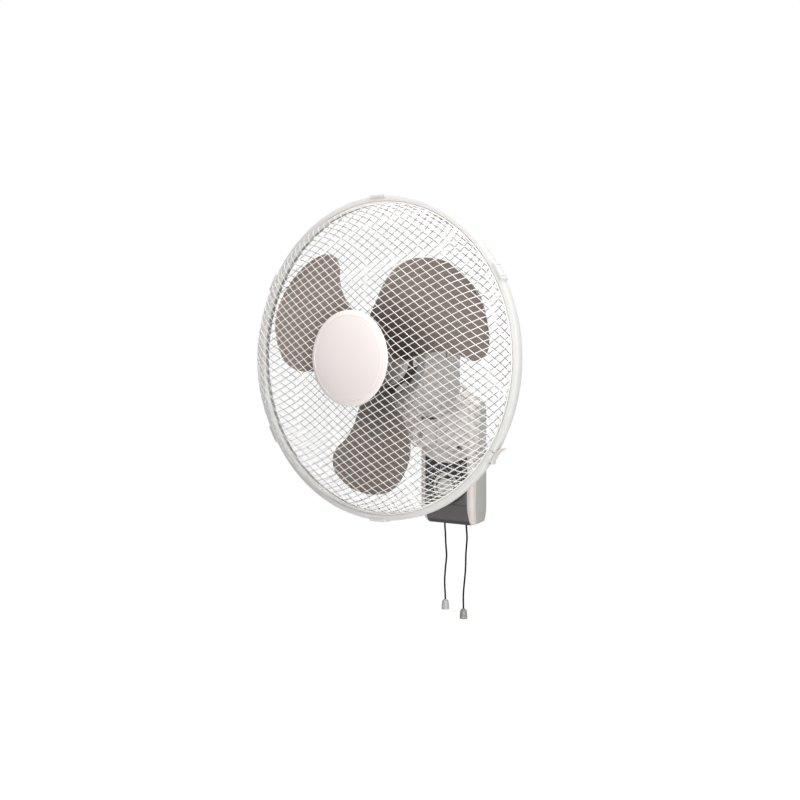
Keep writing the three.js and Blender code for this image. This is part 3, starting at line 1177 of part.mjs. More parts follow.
{
  const half = RING_WIDTH / 2;
  const inner = RING_RADIUS - RING_WALL;
  const lip = inner - LIP_REACH;
  const channel = revolve("Y", [
    [inner, -half + RING_LIP], [lip, -half + RING_LIP], [lip, -half], [RING_RADIUS, -half],
    [RING_RADIUS, half], [lip, half], [lip, half - RING_LIP], [inner, half - RING_LIP],
  ], LARGE_ROUND);
  const catches = [...Array(Math.round(360 / CATCH_STEP)).keys()]
    .map((k) => 90 + k * CATCH_STEP)
    .filter((angle) => Math.abs(angle - CLIP_ANGLE - 360) > CATCH_STEP / 2)
    .map((angle) => {
      const low = -CATCH_LENGTH / 2;
      const block = box([RING_RADIUS - 2.6, -half - 1, low], [RING_RADIUS + CATCH_PROUD, half + 1,
        low + CATCH_LENGTH]);
      return block.rotate([0, -angle, 0]);
    });

  // The clip turns on a pin between two ears at the lower end of its length.
  const pinAt = RING_RADIUS + RUN_GAP + CLIP_THICKNESS / 2 + 0.6;
  const lowEnd = -CLIP_LENGTH / 2;
  const earHalf = CLIP_WIDTH / 2 + RUN_GAP;
  const earOutline = slot([RING_RADIUS - 2, lowEnd], [pinAt, lowEnd], 2.6);
  const ears = [-1, 1].map((side) =>
    prism("Y", earOutline, side > 0 ? earHalf : -half, side > 0 ? half : -earHalf));
  const pinHole = rod("Y", CLIP_PIN_RADIUS + SEAT_GAP, -20, 20, 12).translate([pinAt, 0, lowEnd]);
  const parting = box([lip - 1, -20, 1], [RING_RADIUS + 5, 20, 2.6]);
  const turned = (made) => made.rotate([0, -CLIP_ANGLE, 0]);
  place(head, "guard_ring",
    cut(join(channel, ...catches, ...ears.map(turned)), turned(pinHole), turned(parting)),
    "white");
  place(head, "clip_pin",
    turned(rod("Y", CLIP_PIN_RADIUS, -half + 0.4, half - 0.4, 12)
      .translate([pinAt, 0, lowEnd])), "steel");

  // The lever follows the ring's curve and ends in a tail that stands off it.
  const bar = new THREE.Shape();
  const underside = pinAt - CLIP_THICKNESS / 2 - 0.3;
  bar.moveTo(underside, lowEnd);
  bar.lineTo(underside - 0.1, CLIP_LENGTH / 2 - 6);
  bar.lineTo(underside + 4, CLIP_LENGTH / 2 + 2);
  bar.lineTo(underside + 7, CLIP_LENGTH / 2 + 1);
  bar.lineTo(underside + CLIP_THICKNESS, CLIP_LENGTH / 2 - 8);
  bar.lineTo(underside + CLIP_THICKNESS, lowEnd);
  bar.absarc(pinAt, lowEnd, CLIP_THICKNESS / 2 + 0.3, 0, Math.PI, true);
  const lever = cut(prism("Y", bar, -CLIP_WIDTH / 2, CLIP_WIDTH / 2),
    rod("Y", CLIP_PIN_RADIUS + RUN_GAP, -20, 20, 12).translate([pinAt, 0, lowEnd]));
  place(head, "ring_clip", turned(lever), "bell");
}

export default fan;
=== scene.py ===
# %% [markdown]
# # A wall mounted fan with two pull cords
#
# The real fan is a moulded base that hangs on a wall plate, a hinged neck, a motor housing
# that swings on the neck, and three blades between two wire guards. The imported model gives
# every body and joint. This notebook dresses it: each cell makes one piece at its real size
# in millimetres, in place, and lets it ride on its body.
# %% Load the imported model
import json
import math

import bmesh
import bpy
from mathutils import Matrix, Vector


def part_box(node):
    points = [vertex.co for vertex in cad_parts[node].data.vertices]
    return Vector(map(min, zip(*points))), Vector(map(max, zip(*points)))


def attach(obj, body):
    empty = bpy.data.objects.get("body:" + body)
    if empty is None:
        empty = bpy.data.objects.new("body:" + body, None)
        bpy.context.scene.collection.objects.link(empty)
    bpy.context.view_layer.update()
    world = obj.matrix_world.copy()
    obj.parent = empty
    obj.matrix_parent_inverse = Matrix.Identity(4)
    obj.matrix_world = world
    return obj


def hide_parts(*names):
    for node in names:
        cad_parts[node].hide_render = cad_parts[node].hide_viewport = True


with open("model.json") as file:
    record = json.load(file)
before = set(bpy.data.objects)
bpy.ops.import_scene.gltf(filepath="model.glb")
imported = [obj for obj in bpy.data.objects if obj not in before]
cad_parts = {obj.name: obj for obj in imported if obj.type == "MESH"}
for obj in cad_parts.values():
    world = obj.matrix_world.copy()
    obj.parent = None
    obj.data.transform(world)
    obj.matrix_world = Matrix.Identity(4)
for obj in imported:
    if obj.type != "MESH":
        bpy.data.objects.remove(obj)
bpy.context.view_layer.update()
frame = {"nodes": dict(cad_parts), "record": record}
SLOT_OF = {part["node"]: part["material_slot"] for part in frame["record"]["subparts"]}
MM = 0.001


def box_mm(node):
    """A CAD node's lowest and highest corners in millimetres."""
    return [Vector(corner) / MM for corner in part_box(node)]


def middle_mm(node):
    """A CAD node's middle in millimetres, on the fan's plane of symmetry."""
    low, high = box_mm(node)
    return Vector((0, (low.y + high.y) / 2, (low.z + high.z) / 2))


FAN = middle_mm("guard_ring")
BOLT = middle_mm("tilt_bolt")
print("fan centre", FAN[:], "tilt bolt", BOLT[:])

# %% [markdown]
# ## A skin through rings
#
# The base, the housing and the blades are mouldings whose section changes smoothly from one
# end to the other. They could be pushed into shape with loop cuts. A skin through rings of
# points gives the same form from a few sizes that can be read off the real part, and it is
# closed at both ends, so that it can be cut later.
# %% Skins


def closed(parts):
    """One mesh from lists of corners and faces, with the faces turned outwards."""
    shape = bmesh.new()
    for corners, faces in parts:
        points = [shape.verts.new(corner) for corner in corners]
        for face in faces:
            shape.faces.new([points[i] for i in face])
    bmesh.ops.recalc_face_normals(shape, faces=shape.faces)
    mesh = bpy.data.meshes.new("shape")
    shape.to_mesh(mesh)
    shape.free()
    return mesh


def skin(rings, endless=False):
    """Corners and faces through rings of points that all have the same count."""
    count = len(rings[0])
    corners = [point for ring in rings for point in ring]
    faces = []
    for k in range(len(rings) if endless else len(rings) - 1):
        near, far = k * count, (k + 1) % len(rings) * count
        for i in range(count):
            j = (i + 1) % count
            faces.append((near + i, near + j, far + j, far + i))
    if not endless:
        faces.append(tuple(range(count)))
        faces.append(tuple(range(len(corners) - count, len(corners))))
    return corners, faces


def loft(rings, endless=False):
    return closed([skin(rings, endless)])


triangles = [[(0, 0, level), (1, 0, level), (0, 1, level)] for level in (0, 1)]
print("a skin through two triangles has", len(skin(triangles)[1]), "faces")

# %% [markdown]
# ## Turned shapes
#
# The bells, nuts, bushes, the knob and the badge are round, as if they came off a lathe. The
# Spin tool could sweep them by hand. Here a short profile of radius and height is swept round
# an axis in code, so that a size is changed in one place and the piece stays closed.
# %% Turning


def lay(axis, a, b, along):
    """A point from its two places across an axis and its place along it."""
    return {"X": (along, a, b), "Y": (a, along, b), "Z": (a, b, along)}[axis]


def turned(axis, profile, steps=96):
    """Turns a profile of radius and height, which is a loop or goes from axis to axis."""
    corners, first = [], []
    for radius, height in profile:
        first.append(len(corners))
        for i in range(steps if radius else 1):
            a = 2 * math.pi * i / steps
            corners.append(lay(axis, radius * math.cos(a), radius * math.sin(a), height))
    last = len(profile) - 1
    pairs = [(k, k + 1) for k in range(last)]
    if profile[0][0]:
        pairs.append((last, 0))
    faces = []
    for k, m in pairs:
        for i in range(steps):
            corner = [first[q] + ((i + step) % steps if profile[q][0] else 0)
                      for q, step in ((k, 0), (k, 1), (m, 1), (m, 0))]
            corner = list(dict.fromkeys(corner))
            if len(corner) > 2:
                faces.append(corner)
    return closed([(corners, faces)])


def rod(axis, radius, low, high, steps=48):
    return turned(axis, [(0, low), (radius, low), (radius, high), (0, high)], steps)


def tube(axis, inside, outside, low, high, steps=96):
    return turned(axis, [(inside, low), (outside, low), (outside, high), (inside, high)], steps)


print("a turned rod with 12 sides has", len(rod("Z", 1, 0, 1, 12).polygons), "faces")

# %% [markdown]
# ## Curves through a few rows
#
# A hanging cord, a dished guard and the edge of a blade are smooth curves. A curve object
# could draw them, but its handles are hard to measure on the real part. A curve that passes
# through every row it is given needs only sizes. Where a side is straight, two rows close to
# each of its ends keep the curve from swelling past them.
# %% Smooth rows


def through(rows, steps):
    """Rows of numbers joined by smooth curves, each span in a number of steps."""
    last = len(rows) - 1
    spans = [math.dist(rows[i], rows[i + 1]) for i in range(last)]

    def slope(i):
        before, after = max(i - 1, 0), min(i, last - 1)
        rise_in = [(q - p) / spans[before] for p, q in zip(rows[before], rows[before + 1])]
        rise_out = [(q - p) / spans[after] for p, q in zip(rows[after], rows[after + 1])]
        weight = spans[after] / (spans[before] + spans[after])
        return [weight * a + (1 - weight) * b for a, b in zip(rise_in, rise_out)]

    out = []
    for i in range(last):
        m0, m1, h = slope(i), slope(i + 1), spans[i]
        for k in range(steps):
            t = k / steps
            weights = (2 * t**3 - 3 * t**2 + 1, (t**3 - 2 * t**2 + t) * h,
                       3 * t**2 - 2 * t**3, (t**3 - t**2) * h)
            out.append([sum(w * v for w, v in zip(weights, values))
                        for values in zip(rows[i], m0, rows[i + 1], m1)])
    out.append(list(rows[-1]))
    return out


bend = through([(0, 0), (1, 1), (2, 0)], 4)
print("a curve through 3 rows in steps of 4 has", len(bend), "points")

# %% [markdown]
# ## Placing a finished piece
#
# On the real fan each piece is fixed to one group that moves: base, neck, head, rotor and so
# on. In the scene a mesh becomes an object that rides on that body and hides the plain CAD
# nodes that it stands for. Shading is smooth, and only edges that are sharper than an angle
# stay crisp, as the small radii of a moulding do.
# %% Pieces


def placed(name, data):
    """A new object in the scene that shows this data."""
    made = bpy.data.objects.new(name, data)
    bpy.context.collection.objects.link(made)
    return made


def piece(name, mesh, body, *nodes, at=(0, 0, 0), finish=None, slot_name=None, sharp=38):
    """Puts a finished mesh in the scene in place of CAD nodes, riding on their body."""
    slot_name = slot_name or SLOT_OF[nodes[0]]
    mesh.transform(Matrix.Scale(MM, 4) @ Matrix.Translation(at))
    mesh.materials.clear()
    mesh.materials.append(finish or FINISH[slot_name])
    mesh.shade_smooth()
    mesh.set_sharp_from_angle(angle=math.radians(sharp))
    made = placed(name, mesh)
    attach(made, body)
    if nodes:
        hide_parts(*nodes)
    print(name, len(mesh.polygons), "faces")
    return made


# %% [markdown]
# ## Finishes
#
# The fan is injection moulded plastic, painted wire and a little metal. A moulding is never
# one flat colour: pigment clouds a little, the tool leaves a fine grain, and edges catch the
# light from handling. Pictures could be laid on, but they need unwrapping and blur close up.
# Procedural nodes stay sharp at any distance, so a few helpers build them quickly.
# %% Node helpers


def linear(red, green, blue):
    """A screen colour from 0 to 255 as the linear colour that the nodes take."""
    scaled = [channel / 255 for channel in (red, green, blue)]
    return [c / 12.92 if c <= 0.04045 else ((c + 0.055) / 1.055) ** 2.4 for c in scaled] + [1]


def fill(tree, made, inputs):
    """Gives a node's inputs their values, or links them to other nodes' outputs."""
    for key, value in inputs.items():
        if isinstance(value, bpy.types.NodeSocket):
            tree.links.new(value, made.inputs[key])
        else:
            made.inputs[key].default_value = value


def node(tree, kind, inputs=None, **settings):
    """Adds a node, sets it up, and fills its inputs with values or other nodes' outputs."""
    made = tree.nodes.new(kind)
    for key, value in settings.items():
        setattr(made, key, value)
    fill(tree, made, inputs or {})
    return made


def new_group(name, inputs, outputs):
    """An empty node group with its sockets: name, socket kind and, for inputs, a value."""
    group = bpy.data.node_groups.new(name, "ShaderNodeTree")
    for title, kind, value in inputs:
        socket = group.interface.new_socket(title, in_out="INPUT", socket_type=kind)
        socket.default_value = value
    for title, kind in outputs:
        group.interface.new_socket(title, in_out="OUTPUT", socket_type=kind)
    return group, group.nodes.new("NodeGroupInput"), group.nodes.new("NodeGroupOutput")


def use_group(tree, group, **inputs):
    return node(tree, "ShaderNodeGroup", inputs, node_tree=group)


print("a screen grey of 128 is", round(linear(128, 128, 128)[0], 3), "in the nodes")

# %% [markdown]
# ## Pigment that drifts
#
# Pigment is mixed into the plastic before it is moulded, so the colour drifts by a few per
# cent in soft clouds, and edges that hands rub turn paler. That could be painted on every
# piece. A node group with a noise for the clouds and the mesh's own pointiness for the edges
# is made once and serves all the plastics, each with its own amounts.
# %% Clouded pigment
WORN_COLOUR = (0.9, 0.88, 0.86, 1)
# The clouds' noise runs round 0.5, and an edge's pointiness is a little above 0.5.
EDGE_FROM, EDGE_TO = 0.52, 0.62


def clouded_pigment():
    """Colour that drifts in soft clouds and lightens on worn edges."""
    group, given, result = new_group(
        "clouded_pigment",
        [("Colour", "NodeSocketColor", (0.8, 0.8, 0.8, 1)), ("Drift", "NodeSocketFloat", 0.06),
         ("Cloud size", "NodeSocketFloat", 14.0), ("Edge wear", "NodeSocketFloat", 0.2)],
        [("Colour", "NodeSocketColor")])
    place = node(group, "ShaderNodeTexCoord")
    clouds = node(group, "ShaderNodeTexNoise",
                  {"Vector": place.outputs["Object"], "Scale": given.outputs["Cloud size"],
                   "Detail": 4.0, "Roughness": 0.55})
    centred = node(group, "ShaderNodeMath", {0: clouds.outputs["Fac"], 1: 0.5},
                   operation="SUBTRACT")
    drift = node(group, "ShaderNodeMath",
                 {0: centred.outputs[0], 1: given.outputs["Drift"], 2: 1.0},
                 operation="MULTIPLY_ADD")
    shade = node(group, "ShaderNodeHueSaturation",
                 {"Color": given.outputs["Colour"], "Value": drift.outputs[0]})
    shape = node(group, "ShaderNodeNewGeometry")
    edge = node(group, "ShaderNodeMapRange",
                {"Value": shape.outputs["Pointiness"], "From Min": EDGE_FROM,
                 "From Max": EDGE_TO, "To Min": 0.0, "To Max": 1.0})
    amount = node(group, "ShaderNodeMath", {0: edge.outputs[0], 1: given.outputs["Edge wear"]},
                  operation="MULTIPLY")
    worn = node(group, "ShaderNodeMix",
                {"Factor": amount.outputs[0], "A": shade.outputs[0], "B": WORN_COLOUR},
                data_type="RGBA")
    group.links.new(worn.outputs["Result"], result.inputs["Colour"])
    return group


PIGMENT = clouded_pigment()
print("clouded pigment:", len(PIGMENT.nodes), "nodes")

# %% [markdown]
# ## Grain from the mould
#
# The steel of a mould is etched, and its skin leaves a grain a fraction of a millimetre wide
# on the plastic. Real displacement would need millions of faces. A bump from a fine noise and
# a roughness that wanders a little break up the highlights in the same way.
# %% Tool grain


def tool_grain():
    """The fine grain that a mould leaves: a slightly uneven normal and roughness."""
    group, given, result = new_group(
        "tool_grain",
        [("Grain size", "NodeSocketFloat", 900.0), ("Depth", "NodeSocketFloat", 0.1),
         ("Roughness", "NodeSocketFloat", 0.45)],
        [("Normal", "NodeSocketVector"), ("Roughness", "NodeSocketFloat")])
    place = node(group, "ShaderNodeTexCoord")
    grain = node(group, "ShaderNodeTexNoise",
                 {"Vector": place.outputs["Object"], "Scale": given.outputs["Grain size"],
                  "Detail": 2.0})
    bump = node(group, "ShaderNodeBump",
                {"Height": grain.outputs["Fac"], "Strength": given.outputs["Depth"],
                 "Distance": 0.0002})
    wipes = node(group, "ShaderNodeTexNoise",
                 {"Vector": place.outputs["Object"], "Scale": 22.0, "Detail": 5.0})
    rough = node(group, "ShaderNodeMath",
                 {0: wipes.outputs["Fac"], 1: 0.12, 2: given.outputs["Roughness"]},
                 operation="MULTIPLY_ADD")
    group.links.new(bump.outputs["Normal"], result.inputs["Normal"])
    group.links.new(rough.outputs[0], result.inputs["Roughness"])
    return group


GRAIN = tool_grain()
print("tool grain:", len(GRAIN.nodes), "nodes")

# %% [markdown]
# ## A share that follows the distance from the axis
#
# The blades are painted darker near the hub, and the rear guard's plate darker than its wires,
# as painted shade. Two materials on one mesh would leave a hard edge between them. A group that
# measures how far a point lies from the fan's axis blends one tone into the other.
# %% Distance from the axis


def axis_distance():
    """A share that grows from 0 to 1 between two distances from the fan's axis."""
    group, given, result = new_group(
        "axis_distance",
        [("From", "NodeSocketFloat", 0.04), ("To", "NodeSocketFloat", 0.05)],
        [("Share", "NodeSocketFloat")])
    place = node(group, "ShaderNodeTexCoord")
    from_axis = node(group, "ShaderNodeVectorMath",
                     {0: place.outputs["Object"], 1: FAN * MM}, operation="SUBTRACT")
    flat = node(group, "ShaderNodeVectorMath", {0: from_axis.outputs[0], 1: (1, 0, 1)},
                operation="MULTIPLY")
    radius = node(group, "ShaderNodeVectorMath", {0: flat.outputs[0]}, operation="LENGTH")
    share = node(group, "ShaderNodeMapRange",
                 {"Value": radius.outputs["Value"], "From Min": given.outputs["From"],
                  "From Max": given.outputs["To"]}, interpolation_type="SMOOTHSTEP")
    group.links.new(share.outputs["Result"], result.inputs["Share"])
    return group


AXIS_DISTANCE = axis_distance()
print("axis distance:", len(AXIS_DISTANCE.nodes), "nodes")

# %% [markdown]
# ## Moulded plastic
#
# Most of the fan is one kind of plastic in many colours, from the glossy badge to the matt
# panel. Each could have a material of its own, built by hand. One function takes a colour and
# a roughness, and a second one paints shade into such a plastic towards the fan's axis, so
# they all age alike.
# %% Plastic


def blank_finish(name):
    """A material with its shader only. Returns the material, its nodes and the shader."""
    material = bpy.data.materials.new(name)
    material.use_nodes = True
    tree = material.node_tree
    return material, tree, tree.nodes["Principled BSDF"]


def moulded(name, colour, roughness, drift=0.06, grain=0.12, wear=0.15, coat=0.0):
    """Injection moulded plastic of one colour."""
    material, tree, shader = blank_finish(name)
    tone = use_group(tree, PIGMENT, **{"Colour": linear(*colour), "Drift": drift,
                                       "Edge wear": wear})
    skin_grain = use_group(tree, GRAIN, **{"Depth": grain, "Roughness": roughness - 0.06})
    fill(tree, shader, {"Base Color": tone.outputs["Colour"],
                        "Normal": skin_grain.outputs["Normal"],
                        "Roughness": skin_grain.outputs["Roughness"], "IOR": 1.5,
                        "Coat Weight": coat, "Coat Roughness": 0.12})
    return material


def with_painted_axis_shade(name, inner, outer, start, end, roughness):
    """Plastic or paint that changes tone with the distance from the fan's axis, in metres.
    The inner tone, near the axis, is painted shade.
    """
    material = moulded(name, outer, roughness, drift=0.1, grain=0.05, wear=0.25)
    tree = material.node_tree
    share = use_group(tree, AXIS_DISTANCE, **{"From": start, "To": end})
    # The inner tone near the axis is painted shade, blended into the outer tone.
    tones = node(tree, "ShaderNodeMix",
                 {"Factor": share.outputs["Share"], "A": linear(*inner), "B": linear(*outer)},
                 data_type="RGBA")
    for part in tree.nodes:
        if part.type == "GROUP" and part.node_tree == PIGMENT:
            tree.links.new(tones.outputs["Result"], part.inputs["Colour"])
    return material


print("plastics take their pigment from", PIGMENT.name, "and their grain from", GRAIN.name)

# %% [markdown]
# ## Metal and windings
#
# Inside the housing are a steel shaft, cast brackets, bronze bearings, a stack of steel sheets
# and windings of copper wire. Streaks along the way that the metal was drawn tell it apart
# from grey plastic. The sheets and turns are too thin to model one by one, so bands in the
# colour and the bump stand for them.
# %% Bare metal


def metal(name, colour, roughness, stretch=(1, 1, 1), size=160.0, drift=0.25):
    """Bare metal with drawn or turned streaks along one direction."""
    material, tree, shader = blank_finish(name)
    place = node(tree, "ShaderNodeTexCoord")
    pulled = node(tree, "ShaderNodeMapping", {"Vector": place.outputs["Object"], "Scale": stretch})
    streaks = node(tree, "ShaderNodeTexNoise",
                   {"Vector": pulled.outputs[0], "Scale": size, "Detail": 6.0, "Roughness": 0.7})
    tone = use_group(tree, PIGMENT, **{"Colour": linear(*colour), "Drift": drift,
                                       "Cloud size": 60.0, "Edge wear": 0.1})
    rough = node(tree, "ShaderNodeMapRange",
                 {"Value": streaks.outputs["Fac"], "To Min": roughness - 0.08,
                  "To Max": roughness + 0.14})
    bump = node(tree, "ShaderNodeBump",
                {"Height": streaks.outputs["Fac"], "Strength": 0.15, "Distance": 0.0001})
    fill(tree, shader, {"Base Color": tone.outputs["Colour"], "Roughness": rough.outputs["Result"],
                        "Normal": bump.outputs["Normal"], "Metallic": 1.0})
    return material


def wave_scale(period):
    """The scale of a wave texture whose bands lie a period apart, in millimetres."""
    return math.pi / 10 / (period * MM)


def banded(name, colour, dark, period, axis, metallic, roughness):
    """Stacked sheets or wound wire: fine bands along one axis."""
    material, tree, shader = blank_finish(name)
    place = node(tree, "ShaderNodeTexCoord")
    bands = node(tree, "ShaderNodeTexWave",
                 {"Vector": place.outputs["Object"], "Scale": wave_scale(period),
                  "Distortion": 0.4, "Detail": 1.0}, bands_direction=axis)
    mix = node(tree, "ShaderNodeMix",
               {"Factor": bands.outputs["Fac"], "A": linear(*dark), "B": linear(*colour)},
               data_type="RGBA")
    bump = node(tree, "ShaderNodeBump",
                {"Height": bands.outputs["Fac"], "Strength": 0.4, "Distance": 0.0002})
    fill(tree, shader, {"Base Color": mix.outputs["Result"], "Normal": bump.outputs["Normal"],
                        "Metallic": metallic, "Roughness": roughness})
    return material


print("bands half a millimetre apart take a wave scale of", round(wave_scale(0.5)))

# %% [markdown]
# ## Milky bells and cotton cord
#
# The bells are a milky plastic that lets some light in. Subsurface scattering would show it
# too, but a little transmission renders faster and is exported as it is. The cord is black
# cotton, matt and fuzzy. A fine noise, drawn out along the cord, gives its fibres, and the
# gloss is turned almost off.
# %% Bells and cord
FIBRE_STRETCH = 0.3  # draws the fibres out along the cord


def bell_plastic(name, colour, clear):
    """Milky plastic that lets some light through."""
    material = moulded(name, colour, 0.3, drift=0.05, grain=0.05)
    shader = material.node_tree.nodes["Principled BSDF"]
    shader.inputs["Transmission Weight"].default_value = clear
    return material


def braided_cord():
    """Black cotton cord: fibres along the twist, soft sheen and no gloss."""
    material, tree, shader = blank_finish("black_cotton_cord")
    place = node(tree, "ShaderNodeTexCoord")
    pulled = node(tree, "ShaderNodeMapping",
                  {"Vector": place.outputs["Object"], "Scale": (1, 1, FIBRE_STRETCH)})
    fibres = node(tree, "ShaderNodeTexNoise",
                  {"Vector": pulled.outputs[0], "Scale": 2600.0, "Detail": 3.0})
    mix = node(tree, "ShaderNodeMix",
               {"Factor": fibres.outputs["Fac"], "A": linear(8, 8, 9), "B": linear(38, 36, 36)},
               data_type="RGBA")
    bump = node(tree, "ShaderNodeBump",
                {"Height": fibres.outputs["Fac"], "Strength": 0.5, "Distance": 0.0003})
    fill(tree, shader, {"Base Color": mix.outputs["Result"], "Normal": bump.outputs["Normal"],
                        "Roughness": 0.95, "Specular IOR Level": 0.15})
    return material


print("the cord's fibres are", round(1 / FIBRE_STRETCH, 1), "times as long as they are wide")

# %% [markdown]
# ## One finish for each slot
#
# The record gives every node the slot that its material fills. Materials could be picked piece
# by piece, but a table from slot to finish keeps the colours in one place, where they are
# easy to compare with the photograph. It also dresses the CAD nodes that stay in view.
# %% The fan's finishes
FINISH = {
    "guard_white": moulded("painted_guard_wire", (244, 242, 239), 0.38, drift=0.05, grain=0.06),
    "ring_white": moulded("ring_plastic", (226, 224, 221), 0.42, drift=0.04),
    "badge_white": moulded("badge_plastic", (243, 235, 232), 0.34, drift=0.03, grain=0.05,
                           coat=0.2),
    # The blades' darker tone near the hub is painted shade.
    "blade": with_painted_axis_shade("blade_plastic_with_painted_shade", (66, 58, 52), (140, 128, 121), 0.045, 0.125, 0.4),
    "blade_dark": moulded("spinner_plastic", (92, 84, 78), 0.4, drift=0.08),
    "housing": moulded("housing_plastic", (198, 192, 188), 0.42, drift=0.05),
    "base_light": moulded("cover_plastic", (214, 207, 203), 0.42, drift=0.05),
    "base_grey": moulded("rear_shell_plastic", (176, 171, 167), 0.45, drift=0.06),
    "base_dark": moulded("lower_cover_plastic", (51, 49, 47), 0.5, drift=0.08),
    "panel_black": moulded("panel_plastic", (17, 16, 16), 0.55, drift=0.15, wear=0.05),
    "trim_light": moulded("knob_plastic", (214, 211, 205), 0.36, drift=0.05),
    "bell_clear": bell_plastic("milky_bell_plastic", (208, 209, 209), 0.3),
    "white_plastic": moulded("plain_white_plastic", (226, 223, 218), 0.45, drift=0.05),
    "black_plastic": moulded("plain_black_plastic", (38, 36, 36), 0.45, drift=0.12, wear=0.08),
    "gland_rubber": moulded("gland_rubber", (34, 33, 33), 0.62, drift=0.15, grain=0.25, wear=0.05),
    "cord": braided_cord(),
    "laminated_steel": banded("stacked_steel_sheets", (150, 148, 145), (70, 68, 66), 0.5, "Y",
                              1.0, 0.4),
    "copper": banded("wound_copper_wire", (196, 112, 62), (96, 46, 26), 0.9, "Y", 0.9, 0.35),
    "bracket_metal": metal("cast_bracket_metal", (186, 186, 184), 0.45, size=300.0, drift=0.15),
    "bronze": metal("sintered_bronze", (176, 138, 84), 0.42, size=700.0),
    "steel": metal("drawn_steel", (178, 178, 176), 0.32, stretch=(1, 0.05, 1), size=420.0),
}
BELL_FINISHES = {"swing": FINISH["bell_clear"],
                 "speed": bell_plastic("beige_bell_plastic", (160, 155, 146), 0.15)}
# The rear guard's grey, darker than the front guard's white, and its dark middle are painted shade.
REAR_WIRE_PAINT_AND_SHADE = with_painted_axis_shade("rear_wire_paint_with_painted_shade", (66, 59, 54), (146, 144, 142),
                            0.049, 0.053, 0.42)
CAD_SHARP = 40  # degrees
for name, found in frame["nodes"].items():
    found.data.materials.clear()
    found.data.materials.append(FINISH[SLOT_OF[name]])
    found.data.shade_smooth()
    found.data.set_sharp_from_angle(angle=math.radians(CAD_SHARP))
print(len(FINISH), "finishes on", len(frame["nodes"]), "nodes")

# %% [markdown]
# ## Camera
#
# The photograph looks at the fan from the right of its front, level with its axis, from about
# 1.6 m. The fan sits a little off the middle of the picture. Turning the camera would tilt the
# uprights, so the lens is shifted instead, as a product photographer does.
# %% Camera at the photograph's place
CAMERA_ANGLE = math.radians(37.31)
CAMERA_DISTANCE = 1.6
SENSOR_WIDTH = 36
PICTURE = 800
FOCAL_PIXELS = 1187
FAN_PIXEL = (380.1, 358.1)

camera_data = bpy.data.cameras.new("camera")
camera = placed("camera", camera_data)
camera.location = FAN * MM + CAMERA_DISTANCE * Vector(
    (math.sin(CAMERA_ANGLE), -math.cos(CAMERA_ANGLE), 0))
camera.rotation_euler = (math.radians(90), 0, CAMERA_ANGLE)
camera_data.sensor_width = SENSOR_WIDTH
camera_data.lens = FOCAL_PIXELS / PICTURE * SENSOR_WIDTH
camera_data.shift_x = (PICTURE / 2 - FAN_PIXEL[0]) / PICTURE
camera_data.shift_y = (FAN_PIXEL[1] - PICTURE / 2) / PICTURE
bpy.context.scene.camera = camera
print("camera at", camera.location[:])

# %% [markdown]
# ## Pull cords
#
# Each cord is a thin cotton cord, which hangs from its switch and ends in a small bell. A
# cloth or rope simulation could drop it, but the photograph shows every bend. The load is
# light and the cord limp, so a route of points, copied from the CAD model's, keeps its waves.
# %% Cord routes
CORD_RADIUS = 1.35
TWIST_LENGTH = 6.5
CORD_ROUTES = {
    "swing": (-1, [(0, 0, 0), (0.1, 0, -5), (0.6, -0.1, -11), (1.3, -0.3, -18), (1.8, -0.5, -26),
                   (2.4, -0.7, -34), (3.2, -0.8, -42), (3.5, -0.6, -50), (2.7, -0.4, -58),
                   (1.5, -0.2, -66), (0.6, 0, -74), (-0.2, 0.1, -82), (-0.4, 0.2, -90),
                   (-0.1, 0.2, -98), (0.6, 0.1, -106), (1, 0, -114)]),
    "speed": (1, [(0, 0, 0), (0, 0, -5), (0.5, 0.1, -11), (0.9, 0.2, -17), (0.8, 0.3, -24),
                  (0.1, 0.2, -32), (-0.6, 0.1, -40), (-1, 0, -48), (-1, -0.2, -56),
                  (-1.2, -0.3, -64), (-1.9, -0.3, -73), (-2.8, -0.4, -82), (-3.8, -0.4, -91),
                  (-4.7, -0.4, -100), (-5.2, -0.3, -108), (-5.2, -0.1, -116), (-5, 0, -124)]),
}
CORD_X, CORD_Y = 19, -17
HANG_GAP = 0.3  # left free above a cord and above its bell
CORD_TOP = box_mm("swing_bush")[0].z - HANG_GAP
print("the cords leave the base at height", round(CORD_TOP, 2), "mm")

# %% [markdown]
# ## The twist of a cord
#
# Close up, a cord is three strands twisted together, which show as slanting ribs. Three
# separate strands would need many faces and would cross at each bend. One section with three
# low lobes that turns as it runs down gives the same ribs in a single closed skin.
# %% A twisted cord
STRANDS, LOBE_DEPTH = 3, 0.08


def twisted(route, radius, twist, sides=24, step=0.7):
    """A twisted cord along a route: a lobed section that turns as it runs down."""
    length = sum(math.dist(a, b) for a, b in zip(route, route[1:]))
    count = int(length / step)
    rings = []
    run, span = 0.0, 0
    for k in range(count + 1):
        target = length * k / count
        while span < len(route) - 2 and run + math.dist(route[span], route[span + 1]) < target:
            run += math.dist(route[span], route[span + 1])
            span += 1
        a, b = Vector(route[span]), Vector(route[span + 1])
        middle = a.lerp(b, min(1, (target - run) / (b - a).length))
        turn = 2 * math.pi * target / twist
        ring = []
        for i in range(sides):
            t = 2 * math.pi * i / sides
            r = radius * (1 - LOBE_DEPTH + LOBE_DEPTH * abs(math.cos(STRANDS * (t - turn) / 2)))
            ring.append(middle + Vector((r * math.cos(t), r * math.sin(t), 0)))
        rings.append(ring)
    return loft(rings), length


cord_test, test_length = twisted([(0, 0, 0), (0, 0, -10)], CORD_RADIUS, TWIST_LENGTH)
print("a cord", test_length, "mm long has", len(cord_test.polygons), "faces")
